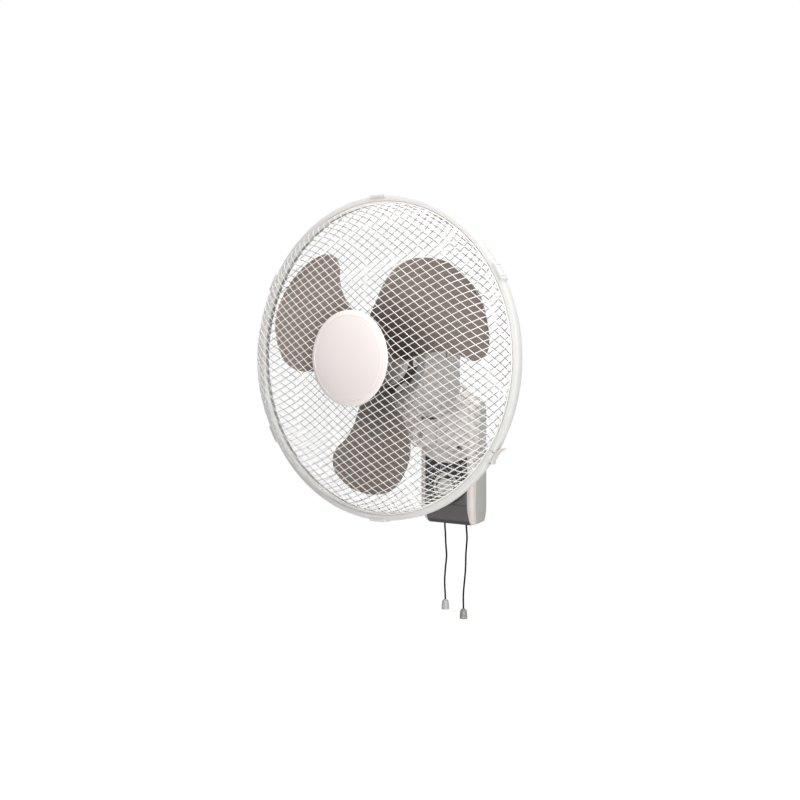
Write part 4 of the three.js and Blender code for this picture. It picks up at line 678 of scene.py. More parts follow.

# %% [markdown]
# ## Cords with their bells
#
# A bell is a hollow turned cap with a grip ring near its mouth. The cord is knotted inside
# it, where it can't be seen, so the cord simply ends in the bell's top. Bell and cord ride
# together on the body that a pull moves, and the cord's real length is printed.
# %% Cords and bells
BELL_PROFILE = [(0, 0), (1.9, 0), (2.5, -0.35), (3.6, -1.4), (4.4, -2.6), (5.0, -4.4), (5.3, -6.4),
                (5.62, -10), (5.72, -11), (5.5, -11.5), (5.5, -12), (5.72, -12.5), (5.8, -14.6),
                (5.6, -15), (5.0, -15), (4.8, -14.6), (4.2, -6.4), (3.6, -5), (2.4, -4.2), (0, -4)]

for name, (side, points) in CORD_ROUTES.items():
    top = Vector((side * CORD_X, CORD_Y, CORD_TOP))
    route = [tuple(top + Vector(p)) for p in through(points, 4)]
    cord_mesh, cord_length = twisted(route, CORD_RADIUS, TWIST_LENGTH)
    body = name + "_pull"
    cord = piece(name + "_twisted_cord", cord_mesh, body, name + "_cord", sharp=80)
    bell_at = top + Vector(points[-1]) - Vector((0, 0, HANG_GAP))
    bell = piece(name + "_pull_bell", turned("Z", BELL_PROFILE, 64), body, name + "_bell",
                 at=bell_at, finish=BELL_FINISHES[name])
    print(name, "cord", round(cord_length, 1), "mm")

# %% [markdown]
# ## Outlines
#
# Levers, ears, slots and screw crosses have one outline all the way through. A box could be
# bevelled into each of them, but an outline with arcs and round ends, pushed through along an
# axis, stays true when its length changes.
# %% Outlines and prisms


def prism(axis, outline, low, high):
    return loft([[lay(axis, a, b, level) for a, b in outline] for level in (low, high)])


def arc(a, b, radius, start, end, steps=8):
    """Points on an arc about a centre, in degrees."""
    angles = [math.radians(start + (end - start) * i / steps) for i in range(steps + 1)]
    return [(a + radius * math.cos(t), b + radius * math.sin(t)) for t in angles]


def rounded_box(low, high, radius, steps=6):
    """The outline of a rectangle with round corners."""
    (a0, b0), (a1, b1) = low, high
    r = min(radius, (a1 - a0) / 2 - 0.01, (b1 - b0) / 2 - 0.01)
    return (arc(a1 - r, b0 + r, r, -90, 0, steps) + arc(a1 - r, b1 - r, r, 0, 90, steps)
            + arc(a0 + r, b1 - r, r, 90, 180, steps) + arc(a0 + r, b0 + r, r, 180, 270, steps))


def slot(start, end, radius, steps=12):
    """The outline of a slot with round ends, from one end's centre to the other's."""
    turn = math.degrees(math.atan2(end[1] - start[1], end[0] - start[0]))
    return (arc(*end, radius, turn - 90, turn + 90, steps)
            + arc(*start, radius, turn + 90, turn + 270, steps))


def block(low, high):
    return prism("Z", [(low[0], low[1]), (high[0], low[1]), (high[0], high[1]), (low[0], high[1])],
                 low[2], high[2])


print("a slot's outline has", len(slot((0, 0), (4, 0), 1)), "points")

# %% [markdown]
# ## Joining, cutting and easing
#
# A toolmaker joins and cuts solids, so that walls have a thickness and holes go through.
# Boolean modifiers do that to closed meshes without stray faces. A bevel on the sharp edges
# comes last, because no moulded edge is a knife edge. The result is taken as a plain mesh, so
# the modifiers needn't be kept.
# %% Joining, cutting and easing


def moved(mesh, x=0, y=0, z=0):
    copy = mesh.copy()
    copy.transform(Matrix.Translation((x, y, z)))
    return copy


def spun(mesh, degrees, axis="Y"):
    copy = mesh.copy()
    copy.transform(Matrix.Rotation(math.radians(degrees), 4, axis))
    return copy


def around(mesh, count, first=0):
    """Copies of a mesh, evenly spaced round the fan axis, the first at an angle in degrees."""
    return [spun(mesh, 360 / count * k + first) for k in range(count)]


def worked(mesh, add_modifiers):
    """The mesh after some modifiers, as a new mesh."""
    blank = placed("blank", mesh)
    helpers = add_modifiers(blank) or []
    result = bpy.data.meshes.new_from_object(
        blank.evaluated_get(bpy.context.evaluated_depsgraph_get()))
    for helper in [blank, *helpers]:
        bpy.data.objects.remove(helper)
    return result


def combined(mesh, tools, operation):
    def add_modifiers(blank):
        helpers = []
        for tool in tools:
            helper = placed("tool", tool)
            step = blank.modifiers.new("step", "BOOLEAN")
            step.solver = "MANIFOLD"
            step.operation = operation
            step.object = helper
            helpers.append(helper)
        return helpers

    return worked(mesh, add_modifiers)


def join(first, *rest):
    return combined(first, rest, "UNION")


def cut(first, *tools):
    return combined(first, tools, "DIFFERENCE")


def common(first, *rest):
    return combined(first, rest, "INTERSECT")


def eased(mesh, width, segments=3, angle=35):
    """Rounds the edges that are sharper than an angle."""
    def add_modifiers(blank):
        step = blank.modifiers.new("ease", "BEVEL")
        step.width = width
        step.segments = segments
        step.limit_method = "ANGLE"
        step.angle_limit = math.radians(angle)

    return worked(mesh, add_modifiers)


sample = cut(block((0, 0, 0), (10, 10, 10)), rod("Z", 2, -1, 11, 12))
print("a block with a hole through it has", len(sample.polygons), "faces")

# %% [markdown]
# ## One wire
#
# A guard's wire is round steel under a thick coat of paint. A curve with a bevel would give
# it too, but several hundred curves are slow to handle. A tube with six sides looks round at
# a millimetre across, and all the tubes can go into one mesh.
# %% A round wire
WIRE_RADIUS = 0.52
WIRE_SIDES = 6
WIRE_STEP = 5.0
WIRE_LIFT = 0.38  # half the distance between the two layers of wires


def wire_tube(points, radius, sides=WIRE_SIDES, endless=False):
    """Corners and faces of a round wire along points that lie across the fan axis."""
    rings = []
    last = len(points) - 1
    for k, point in enumerate(points):
        before = points[k - 1] if k or endless else point
        after = points[(k + 1) % len(points)] if k < last or endless else point
        along = (after - before).normalized()
        side = along.cross(Vector((0, 1, 0))).normalized()
        up = side.cross(along)
        rings.append([point + radius * (math.cos(t) * side + math.sin(t) * up)
                      for t in (2 * math.pi * i / sides for i in range(sides))])
    return skin(rings, endless)


def ring_wire(radius, depth, thickness, steps=96):
    return wire_tube([Vector((radius * math.cos(t), depth, radius * math.sin(t)))
                      for t in (2 * math.pi * i / steps for i in range(steps))],
                     thickness, 8, endless=True)


short_wire = wire_tube([Vector((0, 0, 0)), Vector((9, 0, 0))], WIRE_RADIUS)
print("a short wire has", len(short_wire[1]), "faces")

# %% [markdown]
# ## Wires on a dish
#
# A guard starts as a flat sheet of crossing wires, welded where they cross, and is pressed
# into a dish. So the wires are laid out straight on the flat sheet, and each point's distance
# from the middle is then measured along the dish's profile. A lattice modifier could bend a
# flat sheet too, but it would squash the wires on the steep wall.
# %% Wires pressed into a dish


def dish_wires(profile, angle, pitch, lift):
    """One layer of parallel wires on a dish, at an angle to the level, a pitch apart."""
    fine = through(profile, 10)
    runs = [0.0]
    for a, b in zip(fine, fine[1:]):
        runs.append(runs[-1] + math.dist(a, b))
    inner = fine[0][0]
    outer = inner + runs[-1]

    def on_dish(p, q):
        rho = math.hypot(p, q)
        run = min(max(rho - inner, 0), runs[-1])
        k = next(i for i in range(1, len(runs)) if runs[i] >= run - 1e-9)
        share = (run - runs[k - 1]) / (runs[k] - runs[k - 1])
        reach, depth = (a + (b - a) * share for a, b in zip(fine[k - 1], fine[k]))
        return Vector((reach * p / rho, depth + lift, reach * q / rho))

    c, s = math.cos(math.radians(angle)), math.sin(math.radians(angle))
    wires = []
    most = int(outer / pitch) + 1
    for k in range(-most, most + 1):
        off = (k + 0.5) * pitch
        if abs(off) >= outer - 1:
            continue
        end = math.sqrt(outer**2 - off**2)
        start = math.sqrt(inner**2 - off**2) if abs(off) < inner else 0
        stretches = [(start, end), (-end, -start)] if start else [(-end, end)]
        for low, high in stretches:
            count = max(2, round((high - low) / WIRE_STEP))
            along = [low + (high - low) * i / count for i in range(count + 1)]
            points = [on_dish(c * t - s * off, s * t + c * off) for t in along]
            wires.append(wire_tube(points, WIRE_RADIUS))
    return wires


print("a guard has two layers,", 2 * WIRE_LIFT, "mm from wire middle to wire middle")

# %% [markdown]
# ## The two guards
#
# The front guard is a deep dish with a hub ring, which carries the badge. The rear one is
# shallow and ends in a slotted plate, which the motor's boss clamps. Both end in a pressed
# band inside the guard ring. Wires, band and hub are welded on the real guard, so here they
# share one mesh, but they aren't cut from each other, because nothing inside a weld shows.
# %% Guard profiles
ring_low, ring_high = box_mm("guard_ring")
CATCH_PROUD = 1.8
RING_RADIUS = (ring_high.z - ring_low.z) / 2 - CATCH_PROUD
RING_WALL = 3.2
RIM_OUTSIDE = RING_RADIUS - RING_WALL - 0.3
RIM_INSIDE = RIM_OUTSIDE - 7
WALL_RADIUS = RIM_INSIDE + 1.4  # the wires' middle at the rim
RIM_STEPS = 192
BAND_NEAR, BAND_FAR = 0.2, 4.2  # the pressed band's edges, from the ring's middle
HOOP_DEPTH, HOOP_RADIUS = 5.4, 1.0  # the thick wire beside the band
FRONT_DEPTH, REAR_DEPTH = 64, 27
# Distance from the axis, then depth behind the ring's middle.
FRONT_PROFILE = [(54, -60.6), (62, -60.8), (66, -63), (69.5, -64.6), (74, -FRONT_DEPTH),
                 (92, -62.2), (120, -59), (152, -53.5), (180, -45), (195, -32), (204, -18),
                 (WALL_RADIUS, -2.2)]
PLATE_FRONT = 16.3
REAR_FLAT = PLATE_FRONT + 0.7
REAR_PROFILE = [(58, REAR_FLAT), (77, REAR_FLAT), (100, REAR_FLAT + 3.5), (130, 25),
                (160, REAR_DEPTH), (184, 24), (199, 16), (WALL_RADIUS, 2.2)]


def solid_parts(*meshes):
    """Corners and faces of finished meshes, to go with loose wires in one piece."""
    return [([v.co.copy() for v in mesh.vertices], [tuple(f.vertices) for f in mesh.polygons])
            for mesh in meshes]


def rim_band(low, high):
    """The pressed steel band that the wires are welded to, inside the ring."""
    mid = (low + high) / 2
    return turned("Y", [(RIM_INSIDE, mid - 1.3), (RIM_INSIDE + 0.7, low),
                        (RIM_OUTSIDE - 0.7, low), (RIM_OUTSIDE, mid - 1.3),
                        (RIM_OUTSIDE, mid + 1.3), (RIM_OUTSIDE - 0.7, high),
                        (RIM_INSIDE + 0.7, high), (RIM_INSIDE, mid + 1.3)], RIM_STEPS)


print("front guard", FRONT_DEPTH, "mm deep, rear guard", REAR_DEPTH, "mm deep")

# %% Front guard
FRONT_PITCH = 9.5
FRONT_ANGLES = (-38.7, 24.7)  # the two layers' wires to the level
HUB_RING = (52, 60, -65.2, -62.4)  # inside, outside, front and back
front_wires = [wire for angle, lift in zip(FRONT_ANGLES, (-WIRE_LIFT, WIRE_LIFT))
               for wire in dish_wires(FRONT_PROFILE, angle, FRONT_PITCH, lift)]
front_hub = eased(tube("Y", *HUB_RING), 0.5)
front_rings = [ring_wire(WALL_RADIUS, -HOOP_DEPTH, HOOP_RADIUS, RIM_STEPS)]
piece("front_wire_guard",
      closed(front_wires + front_rings + solid_parts(front_hub, rim_band(-BAND_FAR, -BAND_NEAR))),
      "head", "front_guard", at=FAN, sharp=60)

# %% Rear guard
REAR_PITCH = 9.7
REAR_ANGLES = (-34, 34)
BOSS_RADIUS = 24
PLATE_RADIUS, PLATE_SLOTS = 60, 6
rear_wires = [wire for angle, lift in zip(REAR_ANGLES, (-WIRE_LIFT, WIRE_LIFT))
              for wire in dish_wires(REAR_PROFILE, angle, REAR_PITCH, lift)]
plate = tube("Y", BOSS_RADIUS + 0.3, PLATE_RADIUS, PLATE_FRONT, PLATE_FRONT + 2)
plate_slot = prism("Y", slot((46, -8), (46, 8), 4), 10, 24)
plate = eased(cut(plate, *around(plate_slot, PLATE_SLOTS)), 0.4)
rear_rings = [ring_wire(PLATE_RADIUS + 2, REAR_FLAT, 1.1),
              ring_wire(WALL_RADIUS, HOOP_DEPTH, HOOP_RADIUS, RIM_STEPS)]
# The rear guard's finish is darker than the front guard's, as painted shade.
piece("rear_wire_guard",
      closed(rear_wires + rear_rings + solid_parts(plate, rim_band(BAND_NEAR, BAND_FAR))),
      "head", "rear_guard", at=FAN, sharp=60, finish=REAR_WIRE_PAINT_AND_SHADE)

# %% [markdown]
# ## Guard ring
#
# The ring is a moulded U channel that holds both rims. Short catches stop it from sliding
# round, and it is split once, beside the ears of its lever. It could be bent from a straight
# strip, but a turned channel is truly round, and the catches, ears and split are worked on it
# while it is still one solid.
# %% Guard ring
RING_HALF = 6
CATCH_ANGLES, CATCH_HALF = (90, 150, 210, 270, 30), 13
CLIP_ANGLE = -33.5
PIN_AT = RING_RADIUS + 2.5
CLIP_LOW = -12  # the pin, below the lever's middle


def at_clip(mesh):
    """Turns a shape that was made beside the axis to the lever's place on the ring."""
    return spun(mesh, -CLIP_ANGLE)


def guard_ring_shape():
    inner, lip = RING_RADIUS - RING_WALL, RING_RADIUS - RING_WALL - 4
    e = 1.1  # rounds the channel's outer edges
    profile = [(inner, -RING_HALF + 1.5), (lip, -RING_HALF + 1.5), (lip, -RING_HALF + 0.4),
               (lip + 0.4, -RING_HALF), (RING_RADIUS - e, -RING_HALF),
               (RING_RADIUS - 0.3 * e, -RING_HALF + 0.3 * e), (RING_RADIUS, -RING_HALF + e),
               (RING_RADIUS, RING_HALF - e), (RING_RADIUS - 0.3 * e, RING_HALF - 0.3 * e),
               (RING_RADIUS - e, RING_HALF), (lip + 0.4, RING_HALF), (lip, RING_HALF - 0.4),
               (lip, RING_HALF - 1.5), (inner, RING_HALF - 1.5)]
    channel = turned("Y", profile, 240)
    catch_outline = rounded_box((RING_RADIUS - 2.6, -CATCH_HALF),
                                (RING_RADIUS + CATCH_PROUD, CATCH_HALF), 1.6)
    catch = eased(prism("Y", catch_outline, -7, 7), 0.7)
    groove = block((RING_RADIUS + 0.9, -8, -9), (RING_RADIUS + 4, 8, -8))
    catch = cut(catch, groove, spun(groove, 180, "X"))
    catches = [spun(catch, -angle) for angle in CATCH_ANGLES]
    ears = []
    for low, high in ((-RING_HALF, -4.4), (4.4, RING_HALF)):
        ear = prism("Y", slot((RING_RADIUS - 2, CLIP_LOW), (PIN_AT, CLIP_LOW), 2.6), low, high)
        ears.append(at_clip(eased(ear, 0.35)))
    hole = at_clip(moved(rod("Y", 1.6, -20, 20), PIN_AT, 0, CLIP_LOW))
    split = at_clip(block((lip - 1, -20, 1), (RING_RADIUS + 5, 20, 2.6)))
    return cut(join(channel, *catches, *ears), hole, split)


piece("guard_channel_ring", guard_ring_shape(), "head", "guard_ring", at=FAN)

# %% [markdown]
# ## The ring's lever and pin
#
# A small lever on a pin pulls the ring's split shut. Its back follows the ring, and it ends
# in a tail with a few grooves for the thumb. Its outline is drawn once and pushed through,
# because the real one comes straight out of a simple mould.
# %% Lever and pin


def lever_shape():
    """A bar along the ring that ends in a tail for the thumb."""
    under = PIN_AT - 1.8
    outline = (arc(PIN_AT, CLIP_LOW, 1.8, 180, 360, 10)
               + through([(under + 3, -8), (under + 3, 3), (under + 4.3, 8), (under + 7, 13)], 4)
               + arc(under + 6.2, 13.4, 0.8, 0, 120, 3)
               + through([(under + 4.6, 13.4), (under + 2, 9.2), (under, 5), (under, -8)], 4))
    bar = eased(prism("Y", outline, -4, 4), 0.5)
    thumb = [block((under + 2.6, -5, z), (under + 9, 5, z + 0.5)) for z in (-3, -1, 1, 3)]
    return at_clip(cut(bar, moved(rod("Y", 1.7, -20, 20), PIN_AT, 0, CLIP_LOW), *thumb))


piece("ring_lever", lever_shape(), "ring_clip", "ring_clip", at=FAN)
pin = eased(rod("Y", 1.3, -RING_HALF + 0.4, RING_HALF - 0.4, 32), 0.3)
piece("lever_pin", at_clip(moved(pin, PIN_AT, 0, CLIP_LOW)), "head", "clip_pin", at=FAN)

# %% [markdown]
# ## Badge
#
# The badge is a thin dome that snaps on the middle of the front guard, with a fine groove near
# its rim. A scaled sphere would be too round at the edge, so the real profile is turned, with
# its groove and its hollow back.
# %% Badge
BADGE_BACK = -65.9
BADGE_PROFILE = [(0, -8.6), (14, -8.45), (26, -7.9), (40, -6.7), (50, -5.3), (54.6, -4.5)]
GROOVE = [(54.8, -4.45), (55.2, -3.7), (56, -3.6), (56.4, -4.05)]
BADGE_EDGE = [(56.7, -3.95), (60.5, -2.6), (62.3, -1.5), (63, -0.5), (62.8, 0), (53, 0)]
BADGE_INSIDE = [(52, -1.2), (40, -4.4), (26, -5.8), (0, -6.4)]
badge_profile = through(BADGE_PROFILE, 5) + GROOVE + through(BADGE_EDGE[:4], 4) + BADGE_EDGE[4:]
badge_profile += through(BADGE_INSIDE, 4)
badge_profile = [(r, BADGE_BACK + d) for r, d in badge_profile]
piece("badge_dome", turned("Y", badge_profile, 160), "head", "hub_badge", at=FAN, sharp=32)

# %% [markdown]
# ## Blades
#
# The three blades are one moulding with a hollow hub. A blade climbs along the axis as it
# goes round, like a screw, bulges a little, and thins out to a round tip. Twisting a flat
# plate with a modifier loses the measured outline, so each section is placed from its radius
# and the angles of its two edges, and the skin runs through the sections.
# %% One blade
HUB_RADIUS, HUB_FRONT, HUB_BACK = 38, -35, -1
BLADE_ROOT, BLADE_TIP = 34, 183
BLADE_PLANE, BLADE_PITCH, BLADE_CAMBER = -18, 30, 5
BLADE_THICKNESS, EDGE_SHARE = 2.4, 0.24
BLADE_PHASE = 32.4
BLADE_COUNT = 3
SHAFT_BORE, HUB_WALL = 4.3, 2.5
# Share of the way from root to tip, then degrees to the trailing and to the leading edge.
BLADE_OUTLINE = [(0, 48, 40), (0.148, 44, 31), (0.295, 40.5, 28.5), (0.443, 38.5, 27.6),
                 (0.604, 34.5, 29.8), (0.758, 27.6, 33.9), (0.872, 19, 32.6), (0.94, 12.6, 28.5),
                 (0.98, 6, 20.5), (0.994, 0.5, 14.6), (1, -6.6, 7.4)]


def blade():
    """The blade nearest to the right, as a skin of its sections from the root to the tip."""
    rows = through([(BLADE_ROOT + (BLADE_TIP - BLADE_ROOT) * share, trailing, leading)
                    for share, trailing, leading in BLADE_OUTLINE], 6)
    chord_steps = 24
    rings = []
    for radius, trailing, leading in rows:
        share = (radius - BLADE_ROOT) / (BLADE_TIP - BLADE_ROOT)
        ring = []
        for face in (-1, 1):
            for i in range(chord_steps):
                across = i / chord_steps if face < 0 else 1 - i / chord_steps
                across = 0.5 - 0.5 * math.cos(math.pi * across)
                angle = math.radians(trailing - (trailing + leading) * across)
                middle = 1 - (2 * across - 1) ** 2
                edge = min(1, 7 * math.sqrt(max(middle, 0)))
                half = BLADE_THICKNESS * EDGE_SHARE * (1 + middle) * edge
                along = (BLADE_PLANE - BLADE_PITCH * angle + BLADE_CAMBER * middle * share
                         + face * half)
                a = math.radians(BLADE_PHASE) + angle
                ring.append((radius * math.cos(a), along, radius * math.sin(a)))
        rings.append(ring)
    return loft(rings)


print("blade from", BLADE_ROOT, "to", BLADE_TIP, "mm")

# %% Hub and blades
hub = turned("Y", [(SHAFT_BORE, HUB_FRONT), (HUB_RADIUS - 9, HUB_FRONT),
                   (HUB_RADIUS - 4.5, HUB_FRONT + 1.2), (HUB_RADIUS - 1.2, HUB_FRONT + 4),
                   (HUB_RADIUS, HUB_FRONT + 8), (HUB_RADIUS, HUB_BACK),
                   (HUB_RADIUS - HUB_WALL, HUB_BACK), (HUB_RADIUS - HUB_WALL, HUB_FRONT + 8),
                   (HUB_RADIUS - 9, HUB_FRONT + HUB_WALL), (9, HUB_FRONT + HUB_WALL),
                   (9, HUB_BACK - 8), (SHAFT_BORE, HUB_BACK - 8)])
hub_inside = rod("Y", HUB_RADIUS - HUB_WALL, HUB_FRONT + 10, HUB_BACK + 20, 96)
single = cut(blade(), hub_inside)
blades = join(hub, *[spun(single, -360 / BLADE_COUNT * k) for k in range(BLADE_COUNT)])
piece("three_blades", blades, "rotor", "blade_set", at=FAN, sharp=50)

# %% [markdown]
# ## Spinner and guard nut
#
# A spinner with a left-hand thread holds the blades on the shaft, and a large nut clamps the
# rear guard to the housing. Both have finger grips round them. Each is turned first, and the
# grips are then cut by rods set round it, which keeps their spacing even.
# %% Spinner
SPINNER_BACK = HUB_FRONT - 0.3
GRIP_COUNT = 12


def with_grips(body, groove, reach):
    """Cuts finger grips into a turned piece: a groove, set round it at a distance from the axis."""
    return cut(body, *around(moved(groove, reach), GRIP_COUNT))


SPINNER_PROFILE = [(0, -15), (4, -14.8), (8, -13.6), (12, -10.8), (15, -7.4), (17, -4), (17, 0),
                   (SHAFT_BORE, 0), (SHAFT_BORE, -6), (0, -6)]
spinner = turned("Y", [(radius, SPINNER_BACK + depth) for radius, depth in SPINNER_PROFILE])
spinner = with_grips(spinner, rod("Y", 2.2, SPINNER_BACK - 20, SPINNER_BACK + 1, 24), 18.2)
piece("blade_spinner", eased(spinner, 0.4, angle=50), "rotor", "spinner", at=FAN)

# %% Guard nut
NUT_BACK = PLATE_FRONT - 0.3
NUT_PROFILE = [(BOSS_RADIUS + 0.3, 0), (37, 0), (37, -2.6), (36.4, -3.2), (35.5, -6.6), (35, -7),
               (BOSS_RADIUS + 0.3, -7)]
clamp_nut = turned("Y", [(radius, NUT_BACK + depth) for radius, depth in NUT_PROFILE])
clamp_nut = with_grips(clamp_nut, rod("Y", 3, NUT_BACK - 20, NUT_BACK - 1.5, 24), 37.8)
piece("guard_clamp_nut", eased(clamp_nut, 0.35, angle=50), "head", "guard_nut", at=FAN,
      finish=FINISH["base_grey"])

# %% [markdown]
# ## Motor housing
#
# Two thin shells meet behind the fan: an arched front half with vents round the boss, and a
# rear half that narrows to a rounded tail. Each could be modelled alone, but their surfaces
# would then part at the seam. So both are cut from one hollow body: the same rings, once at
# the outside and once a wall's thickness further in.
# %% The housing's hollow body
HOUSING_SPLIT, HOUSING_WALL, HOUSING_FLOOR = 45, 2.4, -70
ARCH_STEPS = 32
# Depth behind the ring, half width, top, bottom.
HOUSING = [(18.6, 38, 40, -62), (20.4, 41, 43.6, -65.2), (23.6, 43, 46, -67.5), (45, 49, 52, -70),
           (95, 51, 53, -70), (116, 49, 51, -68), (130, 43, 45, -61), (140, 33, 35, -50),
           (146, 21, 24, -37), (148, 12, 15, -28)]


def arch_ring(half_width, top, bottom, depth):
    """Half an ellipse over upright sides and a flat floor with round corners."""
    ring = []
    for i in range(ARCH_STEPS + 1):
        a = math.pi * i / ARCH_STEPS
        ring.append((half_width * math.cos(a), depth, top * math.sin(a)))
    r = min(20, half_width * 0.5, -bottom * 0.5)
    for side, start in ((-1, 180), (1, 270)):
        ring += [(x, depth, z) for x, z in
                 arc(side * (half_width - r), bottom + r, r, start, start + 90, 8)]
    return ring


def housing_body(inset):
    """The housing's smooth body, with all its sides moved in by the inset."""
    rows = through(HOUSING, 3)
    rings = []
    for k, (depth, half_width, top, bottom) in enumerate(rows):
        end = inset if k == 0 else -inset if k == len(rows) - 1 else 0
        rings.append(arch_ring(half_width - inset, top - inset, bottom + inset, depth + end))
    return loft(rings)


housing_shell = cut(housing_body(0), housing_body(HOUSING_WALL))
FAR = 300  # well outside the fan
SEAM = 0.3  # gap between neighbours
PAN_Y = 66  # the head swings about an axis this far behind the ring
SWING_Y = PAN_Y + 43  # and the swing motor sits here
print("housing wall", HOUSING_WALL, "mm")

# %% Front half of the housing
BOSS_BORE, FRONT_VENTS = 20, 8
mouth = rod("Y", BOSS_BORE, -5, 24, 96)
boss = eased(tube("Y", BOSS_BORE, BOSS_RADIUS, 8.3, 21), 0.4)
vent = prism("Y", slot((29, 0), (34.5, 0), 2.2), 15, 24)
front_vents = around(vent, FRONT_VENTS, 180 / FRONT_VENTS)
front_half = common(housing_shell, block((-FAR, -FAR, -FAR), (FAR, HOUSING_SPLIT - SEAM / 2, FAR)))
piece("housing_front_shell", cut(join(front_half, boss), mouth, *front_vents),
      "head", "housing_front", at=FAN)

# %% Rear half of the housing
SLOT_STEP, SLOT_HALF = 10, 2.4
SIDE_SLOTS, FIRST_SLOT = 4, 84.4
BUSH_HOLE = 9.3
side_slots = []
for k in range(SIDE_SLOTS):
    middle = FIRST_SLOT + SLOT_STEP * k
    side_slots.append(prism("X", slot((middle, 0.4), (middle, 27.6), SLOT_HALF), -FAR, FAR))
rear_slots = [prism("Y", slot((SLOT_STEP * k, -20), (SLOT_STEP * k, 12), SLOT_HALF), 123, 200)
              for k in (-1, 0, 1)]
bush_hole = moved(rod("Z", BUSH_HOLE, HOUSING_FLOOR - 3, HOUSING_FLOOR + 6), 0, PAN_Y, 0)
posts = [moved(rod("Z", 3.5, HOUSING_FLOOR + 1, -51.6), x, SWING_Y + 2, 0) for x in (-25, 25)]
rear_half = common(housing_shell, block((-FAR, HOUSING_SPLIT + SEAM / 2, -FAR), (FAR, FAR, FAR)))
piece("housing_rear_shell", cut(join(rear_half, *posts), bush_hole, *side_slots, *rear_slots),
      "head", "housing_rear", at=FAN)

# %% [markdown]
# ## Base
#
# The base is a deep rear shell and a front cover, whose shoulder reaches forward round the
# arm. Below the shoulder a window holds the black panel, and under that a dark lower cover
# follows the base where it curves back to the wall. All four meet along curved lines, so all
# are cut from one smooth body with the same cutting shapes, and a small gap between them.
# %% The base's smooth bodies
BASE_FRONT, BASE_WALL, BASE_BACK = 43, 2.2, 4.3
BASE_BOTTOM, BASE_TOP = -92, 88
FRONT_CORNER, BACK_CORNER = 6, 1.5
# Height, half width, front.
BASE = [(-92, 39, 31), (-90, 41, 33.5), (-84, 43.4, 37.2), (-75, 45.2, 40.6), (-62, 46, 43),
        (-61, 46, 43), (69, 46, 43), (70, 46, 43), (80, 45, 42.2), (86, 42, 39.5), (88, 38, 36)]
# Depth, half width, bottom, top, corner radius.
SHOULDER = [(38, 41, 15, 84, 13), (48, 38, 17, 81, 12), (62, 31.5, 21, 77, 9),
            (78, 25.5, 24, 73, 5), (96, 22.5, 25.5, 68.5, 2.2)]


def plan_ring(half_width, front, back, height, radius):
    """The base's plan at a height: round front corners and tight back corners."""
    side, tight = half_width - radius, half_width - BACK_CORNER
    plan = arc(side, -front + radius, radius, 0, -90, 8)
    plan += arc(-side, -front + radius, radius, -90, -180, 8)
    plan += arc(-tight, -back - BACK_CORNER, BACK_CORNER, 180, 90, 3)
    plan += arc(tight, -back - BACK_CORNER, BACK_CORNER, 90, 0, 3)
    return [(x, y, height) for x, y in plan]


def base_body(inset):
    """The base's smooth body, with all its sides moved in by the inset."""
    rows = through(BASE, 5)
    rings = []
    for k, (height, half_width, front) in enumerate(rows):
        up = inset if k < len(rows) / 2 else -inset
        level = min(max(height + up, BASE_BOTTOM + inset + 0.01 * k),
                    BASE_TOP - inset - 0.01 * (len(rows) - k))
        rings.append(plan_ring(half_width - inset, front - inset, BASE_BACK + inset, level,
                               max(FRONT_CORNER - inset, 1)))
    return loft(rings)


def bottom_wedge(lift):
    """The bottom rises towards the wall."""
    return prism("X", [(1, BASE_BOTTOM - 10), (-BASE_FRONT, BASE_BOTTOM - 10),
                       (-BASE_FRONT, BASE_BOTTOM + lift - 1.5),
                       (1, BASE_BOTTOM + 6 + lift)], -60, 60)


def shoulder(inset, stretch):
    """The shoulder round the arm, moved in by the inset and longer by the stretch at both ends."""
    rows = through(SHOULDER, 6)
    rings = []
    for k, (depth, half_width, low, high, radius) in enumerate(rows):
        reach = -stretch if k == 0 else stretch if k == len(rows) - 1 else 0
        w, r = half_width - inset, max(radius - inset, 0.2)
        rings.append([(x, -depth - reach, z)
                      for x, z in rounded_box((-w, low + inset), (w, high - inset), r, 8)])
    return loft(rings)


outer_body = cut(base_body(0), bottom_wedge(0))
cavity = cut(base_body(BASE_WALL), bottom_wedge(BASE_WALL))
POST_TOP = BASE_FRONT - 9.3
POST_RADIUS = 4
cover_posts = [(-31, 22), (31, 22)]  # x and height
print("base", 2 * BASE[4][1], "mm wide,", BASE_TOP - BASE_BOTTOM, "mm tall")

# %% [markdown]
# ## Where the base parts
#
# The seam between shell and cover runs down the sides, leans back towards the top and curves
# with the base at the bottom. The window's long edges sag in the middle. A knife cut by hand
# would be hard to repeat on the next piece, so both lines are written once, as regions that
# every piece is cut with.
# %% Parting line and window
COVER_DEPTH, SEAM_LEAN, LEAN_LOW, LEAN_HIGH = 9, 13, -50, 80
WINDOW_HALF, WINDOW_TOP, WINDOW_SAG, PANEL_BOTTOM, PANEL_RISE = 37, 8, 10, -62, 20


def front_region(shift):
    """All in front of the parting line, which leans back at the top and curves at the bottom."""
    line = []
    for height, _, front in through(BASE, 5):
        lean = SEAM_LEAN * min(max((height - LEAN_LOW) / (LEAN_HIGH - LEAN_LOW), 0), 1)
        line.append((-min(front, BASE_FRONT) + COVER_DEPTH + lean - shift, height))
    line[0] = (line[0][0], line[0][1] - 20)
    line[-1] = (line[-1][0], line[-1][1] + 20)
    return prism("X", [(-120, line[0][1]), *line, (-120, line[-1][1])], -60, 60)


def bowed(half, ends, sag, steps=24):
    """Points along a curved edge from left to right, lower in its middle by the sag."""
    places = [half * (2 * i / steps - 1) for i in range(steps + 1)]
    return [(x, ends - sag * (1 - (x / half) ** 2)) for x in places]


def window(gap, low, rise):
    """The window's outline: both its long edges sag in the middle."""
    w = WINDOW_HALF - gap
    return bowed(w, low + rise, rise) + bowed(w, WINDOW_TOP - gap, WINDOW_SAG)[::-1]


print("the window is", 2 * WINDOW_HALF, "mm wide")

